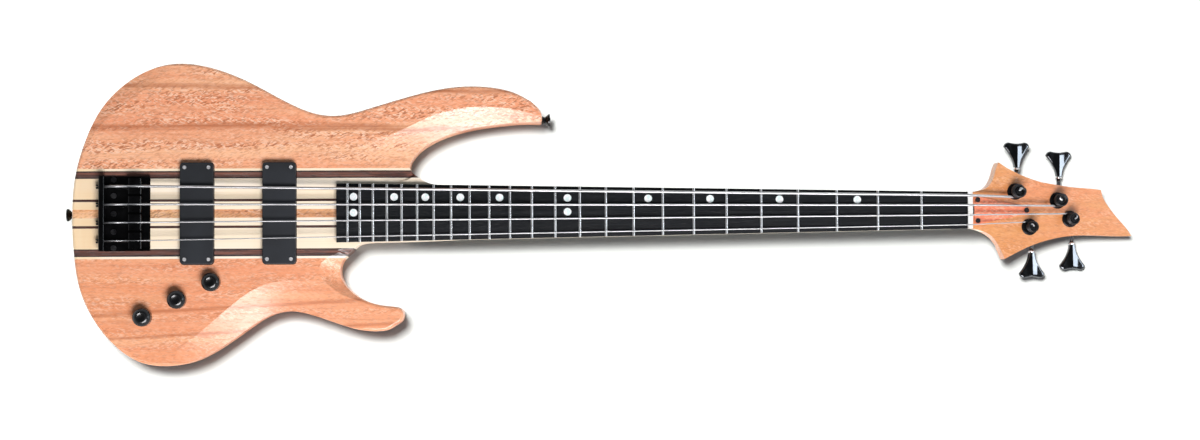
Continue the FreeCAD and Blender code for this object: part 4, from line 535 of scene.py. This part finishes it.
# Each tuner: how far along the headstock, how far across, and the side that its key is on.
TUNERS = {"e": (0.0487, 0.0199, 1), "a": (0.0957, 0.0106, 1),
          "d": (0.1094, -0.0089, -1), "g": (0.0641, -0.0174, -1)}
TURN_PITCH = 0.00038
TURN_LEAN = 0.006
# Painted shade: the valleys between the turns of the wire are painted this darker grey.
VALLEY_SHADE = rgb(0.28, 0.28, 0.28)
# Painted shade: the turns wrapped on a post are painted near black.
WRAP_SHADE = rgb(0.012, 0.012, 0.013)
# Painted highlight: along X the string is painted brighter from the first place to the second, towards the
# neck and head.
HIGHLIGHT_START, HIGHLIGHT_FULL = 0.18, 0.34
HIGHLIGHT_TONE = rgb(0.74, 0.74, 0.75)
# The painted shade on the wraps lies between two distances from the post's axis, and fades at both.
WRAP_SHADE_IN, WRAP_SHADE_OUT = (0.0036, 0.0042), (0.0078, 0.0088)


def wound(place, post):
    """Round wire wound tightly on a core, with painted shade in its valleys and on its turns round the
    post, and a painted highlight towards the head.
    """
    turns = place.part("X") * (2 * math.pi / TURN_PITCH) + place.part("Y") * (2 * math.pi / TURN_LEAN)
    ridge = place.math("SINE", turns) * 0.5 + 0.5
    dull = place.scaled(40, 300, 300).noise(2, 0.5)
    tone = dull.ramp(0.3, 0.7).mix(rgb(0.62, 0.62, 0.63), rgb(0.48, 0.48, 0.49))
    off_x = place.part("X") - (place.part("Z") - post.z) * math.tan(TILT) - post.x
    off_y = place.part("Y") - post.y
    away = place.math("SQRT", off_x * off_x + off_y * off_y)
    # Painted highlight: brighter from the middle of the neck on.
    tone = place.part("X").ramp(HIGHLIGHT_START, HIGHLIGHT_FULL).mix(tone, HIGHLIGHT_TONE)
    # Painted shade: near black on the turns wrapped round the post.
    wrapped = away.ramp(*WRAP_SHADE_IN) * away.ramp(*WRAP_SHADE_OUT, 1.0, 0.0)
    # Painted shade: the valleys between the turns get the darker grey.
    tone = (ridge * 0.6 + 0.4).mix(VALLEY_SHADE, tone)
    return {
        "Base Color": (wrapped * 0.95).mix(tone, WRAP_SHADE),
        "Roughness": dull * 0.14 + 0.28,
        "Normal": ridge.bump(0.2, 0.0001),
    }


for n in names:
    post = HEAD @ Vector((TUNERS[n][0], TUNERS[n][1], 0))
    dress(material("string_winding_" + n, {"Metallic": 0.85}, lambda p: wound(p, post)), "string_" + n)

# %% [markdown]
# ## Plastic, pearl and bone
# The pickup covers and the knobs are black plastic and lacquer, the dots are shell and the nut is bone.
# Each could be one smooth colour, but moulded plastic has a faint grain, shell has sheets that catch the
# light in two tints, and bone has long pores, so each gets its own noise.


# %% Plastic, pearl and bone
def moulded(place, dark, pale, gloss, grain):
    pits = place.scaled(1600, 1600, 1600).noise(2, 0.6)
    cloud = place.scaled(30, 30, 30).noise(2, 0.5)
    return {
        "Base Color": cloud.ramp(0.3, 0.7).mix(dark, pale),
        "Roughness": pits * 0.12 + cloud * 0.10 + gloss,
        "Normal": pits.bump(grain, 0.0001),
    }


def pearl(place):
    sheets = place.scaled(420, 260, 420).noise(3, 0.55, 1.2)
    tint = sheets.ramp(0.40, 0.60).mix(rgb(0.72, 0.86, 0.84), rgb(0.95, 0.92, 0.93))
    return {
        "Base Color": tint,
        "Roughness": sheets * 0.2 + 0.12,
        "Normal": sheets.bump(0.1, 0.0002),
    }


def bone(place):
    grain = place.scaled(500, 90, 900).noise(3, 0.6)
    return {
        "Base Color": grain.ramp(0.35, 0.75).mix(rgb(0.90, 0.90, 0.88), rgb(0.80, 0.78, 0.72)),
        "Roughness": grain * 0.2 + 0.22,
        "Normal": grain.bump(0.1, 0.0001),
    }


print("formulas:", ", ".join(f.__name__ for f in (moulded, pearl, bone)))

# %% Plastic, pearl and bone pieces
dress(material("pickup_plastic", {"Specular IOR Level": 0.5}, lambda p: moulded(
    p, dark=rgb(0.006, 0.008, 0.011), pale=rgb(0.010, 0.013, 0.018), gloss=0.38, grain=0.25)),
      "bridge_pickup_cover", "neck_pickup_cover")
knob_black = material("knob_lacquer", {"Coat Weight": 0.25, "Coat Roughness": 0.10}, lambda p: moulded(
    p, dark=rgb(0.002, 0.002, 0.002), pale=rgb(0.005, 0.005, 0.006), gloss=0.14, grain=0.03))
dress(knob_black, *["control_knob_%d" % k for k in (1, 2, 3)])
dress(material("cover_plastic", {}, lambda p: moulded(
    p, dark=rgb(0.014, 0.014, 0.015), pale=rgb(0.026, 0.026, 0.027), gloss=0.42, grain=0.4)),
      "control_cover")
dress(material("coil_tape", {}, lambda p: moulded(
    p, dark=rgb(0.10, 0.035, 0.02), pale=rgb(0.17, 0.06, 0.03), gloss=0.42, grain=0.3)), "pickup_coils")
dress(material("foam", {}, lambda p: moulded(
    p, dark=rgb(0.03, 0.03, 0.03), pale=rgb(0.09, 0.09, 0.09), gloss=0.80, grain=1.0)), "pickup_foam")
dress(material("battery_wrap", {"Metallic": 0.4}, lambda p: moulded(
    p, dark=rgb(0.10, 0.11, 0.13), pale=rgb(0.18, 0.19, 0.21), gloss=0.26, grain=0.05)), "battery")
dress(material("wire_sheath", {}, lambda p: moulded(
    p, dark=rgb(0.02, 0.02, 0.02), pale=rgb(0.05, 0.05, 0.05), gloss=0.40, grain=0.1)), "wiring")
dress(material("pearl", {"Coat Weight": 0.8, "Coat Roughness": 0.06}, pearl), "position_dots")
dress(material("bone", {"Coat Weight": 0.2, "Coat Roughness": 0.1}, bone), "nut")

# %% [markdown]
# ## Knobs
# A knob is what a hand touches, so its shape is worth more than a plain cylinder. It could be cut from
# solids, but a real one is turned on a lathe, and so is this: one profile swept round an axis gives its
# fluted grip, its domed shoulder and the shallow dish in its top. Sizes are in millimetres.


# %% Pieces and turned shapes
SAME_POINT = 1e-6


def piece(name, points, faces, look, body, slot):
    """A closed, smooth mesh that rides on a body."""
    mesh = bpy.data.meshes.new(name)
    mesh.from_pydata(points, [], faces)
    shape = bmesh.new()
    shape.from_mesh(mesh)
    bmesh.ops.remove_doubles(shape, verts=shape.verts, dist=SAME_POINT)
    bmesh.ops.recalc_face_normals(shape, faces=shape.faces)
    shape.to_mesh(mesh)
    shape.free()
    mesh.shade_smooth()
    mesh.materials.append(look)
    made = bpy.data.objects.new(name, mesh)
    scene.collection.objects.link(made)
    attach(made, body)
    return made


def turned(profile, sides, place, flutes=0):
    """Points and faces of a profile of (radius, height, flute depth), in millimetres, swept round Z."""
    points = []
    faces = []
    for radius, height, depth in profile:
        for k in range(sides):
            angle = 2 * math.pi * k / sides
            reach = radius - depth * (0.5 + 0.5 * math.cos(flutes * angle))
            spot = Vector((reach * math.cos(angle), reach * math.sin(angle), height))
            points.append(place @ (spot / 1000))
    for ring in range(len(profile) - 1):
        for k in range(sides):
            a = ring * sides + k
            b = ring * sides + (k + 1) % sides
            faces.append((a, b, b + sides, a + sides))
    faces.append(tuple(range(sides)))
    faces.append(tuple(range(len(points) - sides, len(points))))
    return points, faces


print("helpers:", ", ".join(f.__name__ for f in (piece, turned)))

# %% Knobs
KNOBS = ((0.0748, -0.0713), (0.0395, -0.0892), (0.0040, -0.1073))
KNOB_FOOT = 0.0448
FLUTES = 48
FLUTE_DEPTH = 0.22
SHOULDER_R, SHOULDER_WIDE, SHOULDER_STEPS = 9.3, 4.1, 16
STEEP_IN, STEEP_MORE = 15, 37
DISH_R, DISH_CURVE, DISH_DROP = 4.5, 0.036, 0.15
DISH_RINGS, DISH_STEP = 10, 0.49
knob_profile = [(6.8, 0, 0), (9.2, 0, 0), (9.5, 0.15, 0), (9.6, 0.5, 0), (9.6, 1.2, 0),
                (9.6, 1.5, FLUTE_DEPTH), (9.6, 8.6, FLUTE_DEPTH),
                (9.6, 8.9, 0), (9.6, 9.4, 0), (9.5, 9.75, 0)]
radius, height = SHOULDER_R, 10.0
stride = SHOULDER_WIDE / SHOULDER_STEPS
for step in range(SHOULDER_STEPS + 1):
    knob_profile.append((radius, height, 0))
    steep = STEEP_IN + STEEP_MORE * (radius - (SHOULDER_R - SHOULDER_WIDE)) / SHOULDER_WIDE
    radius -= stride
    height += stride * math.tan(math.radians(steep))
rim = height
knob_profile += [(4.95, rim - 0.02, 0), (4.8, rim, 0), (4.65, rim - 0.06, 0)]
for step in range(DISH_RINGS):
    radius = DISH_R - DISH_STEP * step
    knob_profile.append((radius, rim - DISH_DROP - DISH_CURVE * (DISH_R ** 2 - radius ** 2), 0))
for k, (x, y) in enumerate(KNOBS, 1):
    points, faces = turned(knob_profile, 3 * FLUTES, Matrix.Translation((x, y, KNOB_FOOT)), FLUTES)
    made = piece("knob_%d_turned" % k, points, faces, knob_black, "knob_%d" % k, "knob")
    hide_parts("control_knob_%d" % k)
print("knobs", len(knob_profile), "rings, rim", round(rim, 2), "mm up")

# %% [markdown]
# ## Tuner keys
# A key is cast: a leaf that widens from its collar to two round ears, with a ridge down its middle.
# It could be sculpted by hand, but a grid of points whose height is a formula is easier to set. The slope
# beside the ridge is the angle that mirrors the small lamp, so it shows a bright stripe, and the ears
# are level, so they stay black.

# %% Tuner key leaf
# A key's axis lies this far along from its post, and this far under the headstock's face, in metres.
# The shape of the leaf is in millimetres.
KEY_ALONG = 0.009
KEY_DOWN = -0.019
LEAF_AT = 25.7
LEAF_LEN = 27.8
COLLAR_HALF, EAR_HALF = 2.8, 14.2
EARS_FROM = 22.8
EAR_ROUND = 5.0
END_DIP = 1.2
MIDDLE_SHARE = 0.6
FLARE = 1.75
SIDE_CRISP, END_CRISP = 14, 40
ROW_CROWD = 1.7
RIDGE = 3.6
SLOPE = 0.128
SLOPE_END = 4.2
EASE = 2.4


def leaf_point(u, v, face):
    """A point of a key's leaf: u from ear to ear, v from the collar to the end, face 1 or -1."""
    corner = max(0, (abs(u) - MIDDLE_SHARE) / (1 - MIDDLE_SHARE))
    rounding = EAR_ROUND * (1 - math.sqrt(max(0, 1 - corner ** 2)))
    end = LEAF_LEN - END_DIP * (1 - min(1, (u / MIDDLE_SHARE) ** 2)) - rounding
    along = v * end
    half = COLLAR_HALF + (EAR_HALF - COLLAR_HALF) * min(1, along / EARS_FROM) ** FLARE
    across = abs(u) * half
    rim = math.sqrt(max(0, (1 - abs(u) ** SIDE_CRISP) * (1 - v ** END_CRISP)))
    eased = min(1, max(0, across - SLOPE_END) / EASE)
    level = EASE * eased ** 2 / 2 + max(0, across - SLOPE_END - EASE)
    height = (RIDGE - SLOPE * (across - level)) * rim
    return Vector((u * half, LEAF_AT + along, face * height)) / 1000


def leaf(place, across=24, along=36):
    """Two grids of points, whose rims meet, and a last face that closes the leaf inside its collar."""
    rows = [1 - (1 - j / along) ** ROW_CROWD for j in range(along + 1)]
    columns = [math.sin(math.pi / 2 * k / across) for k in range(-across, across + 1)]
    points = []
    faces = []
    for face in (1, -1):
        first = len(points)
        points += [place @ leaf_point(u, v, face) for v in rows for u in columns]
        for j in range(along):
            for k in range(2 * across):
                a = first + j * len(columns) + k
                faces.append((a, a + 1, a + 1 + len(columns), a + len(columns)))
    mouth = list(range(len(columns))) + [len(points) // 2 + k for k in range(2 * across - 1, 0, -1)]
    faces.append(tuple(mouth))
    return points, faces


print("leaf", len(leaf(HEAD)[0]), "points")

# %% Tuner keys
COLLAR_AT = 24.4
WORM_R, THREAD_R = 2.1, 2.65
key_bright = material("key_collar", METAL, lambda p: brushed(
    p, dark=rgb(0.80, 0.81, 0.83), pale=rgb(0.93, 0.94, 0.96), gloss=0.14))
shaft = [(1.6, -9.0, 0), (1.6, -4.8, 0), (WORM_R, -4.7, 0)]
for thread in (-3.1, -1.03, 1.03, 3.1):
    shaft += [(WORM_R, thread - 0.5, 0), (THREAD_R, thread - 0.15, 0),
              (THREAD_R, thread + 0.15, 0), (WORM_R, thread + 0.5, 0)]
shaft += [(2.2, 4.8, 0), (2.2, COLLAR_AT + 0.3, 0)]
collar = [(2.2, COLLAR_AT - 0.1, 0), (3.5, COLLAR_AT, 0), (3.8, COLLAR_AT + 0.3, 0),
          (3.8, COLLAR_AT + 1.9, 0), (3.5, COLLAR_AT + 2.3, 0), (2.9, COLLAR_AT + 2.4, 0)]
for n, (s, y, side) in TUNERS.items():
    axis = HEAD @ Matrix.Translation((s + KEY_ALONG, y, KEY_DOWN))
    if side < 0:
        axis = axis @ Matrix.Rotation(math.pi, 4, "Z")
    along_y = axis @ Matrix.Rotation(-math.pi / 2, 4, "X")
    points, faces = leaf(axis)
    more, rings = turned(shaft, sides=24, place=along_y)
    faces += [tuple(i + len(points) for i in face) for face in rings]
    made = piece("key_leaf_" + n, points + more, faces, gloss_black, "key_" + n, "black_chrome")
    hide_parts("tuner_key_" + n)
    points, faces = turned(collar, sides=40, place=along_y)
    piece("key_collar_" + n, points, faces, key_bright, "key_" + n, "bright_screw")
print("keys", list(TUNERS))

# %% [markdown]
# ## Strings over their saddles
# A saddle slides a few millimetres to set its string's length, and the string has to stay on its crown.
# A solid string cannot stretch, so a copy in two pieces takes its place. Each string is cut just behind
# its saddle, and both cuts are closed.

# %% Strings cut in two behind their saddles
# Places along X.
SADDLE_REAR = -0.0105


def string_piece(n, end):
    """A closed copy of a string's tail, behind the cut, or of its length, in front of it."""
    shape = bmesh.new()
    shape.from_mesh(nodes["string_" + n].data)
    bmesh.ops.remove_doubles(shape, verts=shape.verts, dist=SAME_POINT)
    whole = shape.verts[:] + shape.edges[:] + shape.faces[:]
    bmesh.ops.bisect_plane(shape, geom=whole, plane_co=(SADDLE_REAR, 0, 0), plane_no=(1, 0, 0),
                           clear_inner=end == "length", clear_outer=end == "tail")
    cut_rim = [e for e in shape.edges if e.is_boundary
               and all(abs(v.co.x - SADDLE_REAR) < SAME_POINT for v in e.verts)]
    bmesh.ops.holes_fill(shape, edges=cut_rim, sides=0)
    mesh = bpy.data.meshes.new("string_%s_%s" % (n, end))
    shape.to_mesh(mesh)
    shape.free()
    mesh.shade_smooth()
    mesh.materials.append(nodes["string_" + n].data.materials[0])
    made = bpy.data.objects.new(mesh.name, mesh)
    scene.collection.objects.link(made)
    return made


for n in names:
    tail = string_piece(n, "tail")
    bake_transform(tail)
    length = string_piece(n, "length")
    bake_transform(length)
    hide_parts("string_" + n)
    print("string", n, len(tail.data.vertices), "+", len(length.data.vertices), "points")

# %% [markdown]
# ## Sizes
# The solid model's box is read as cad_box once the model is loaded. The dressed model
# has to stay inside the solid model's box.
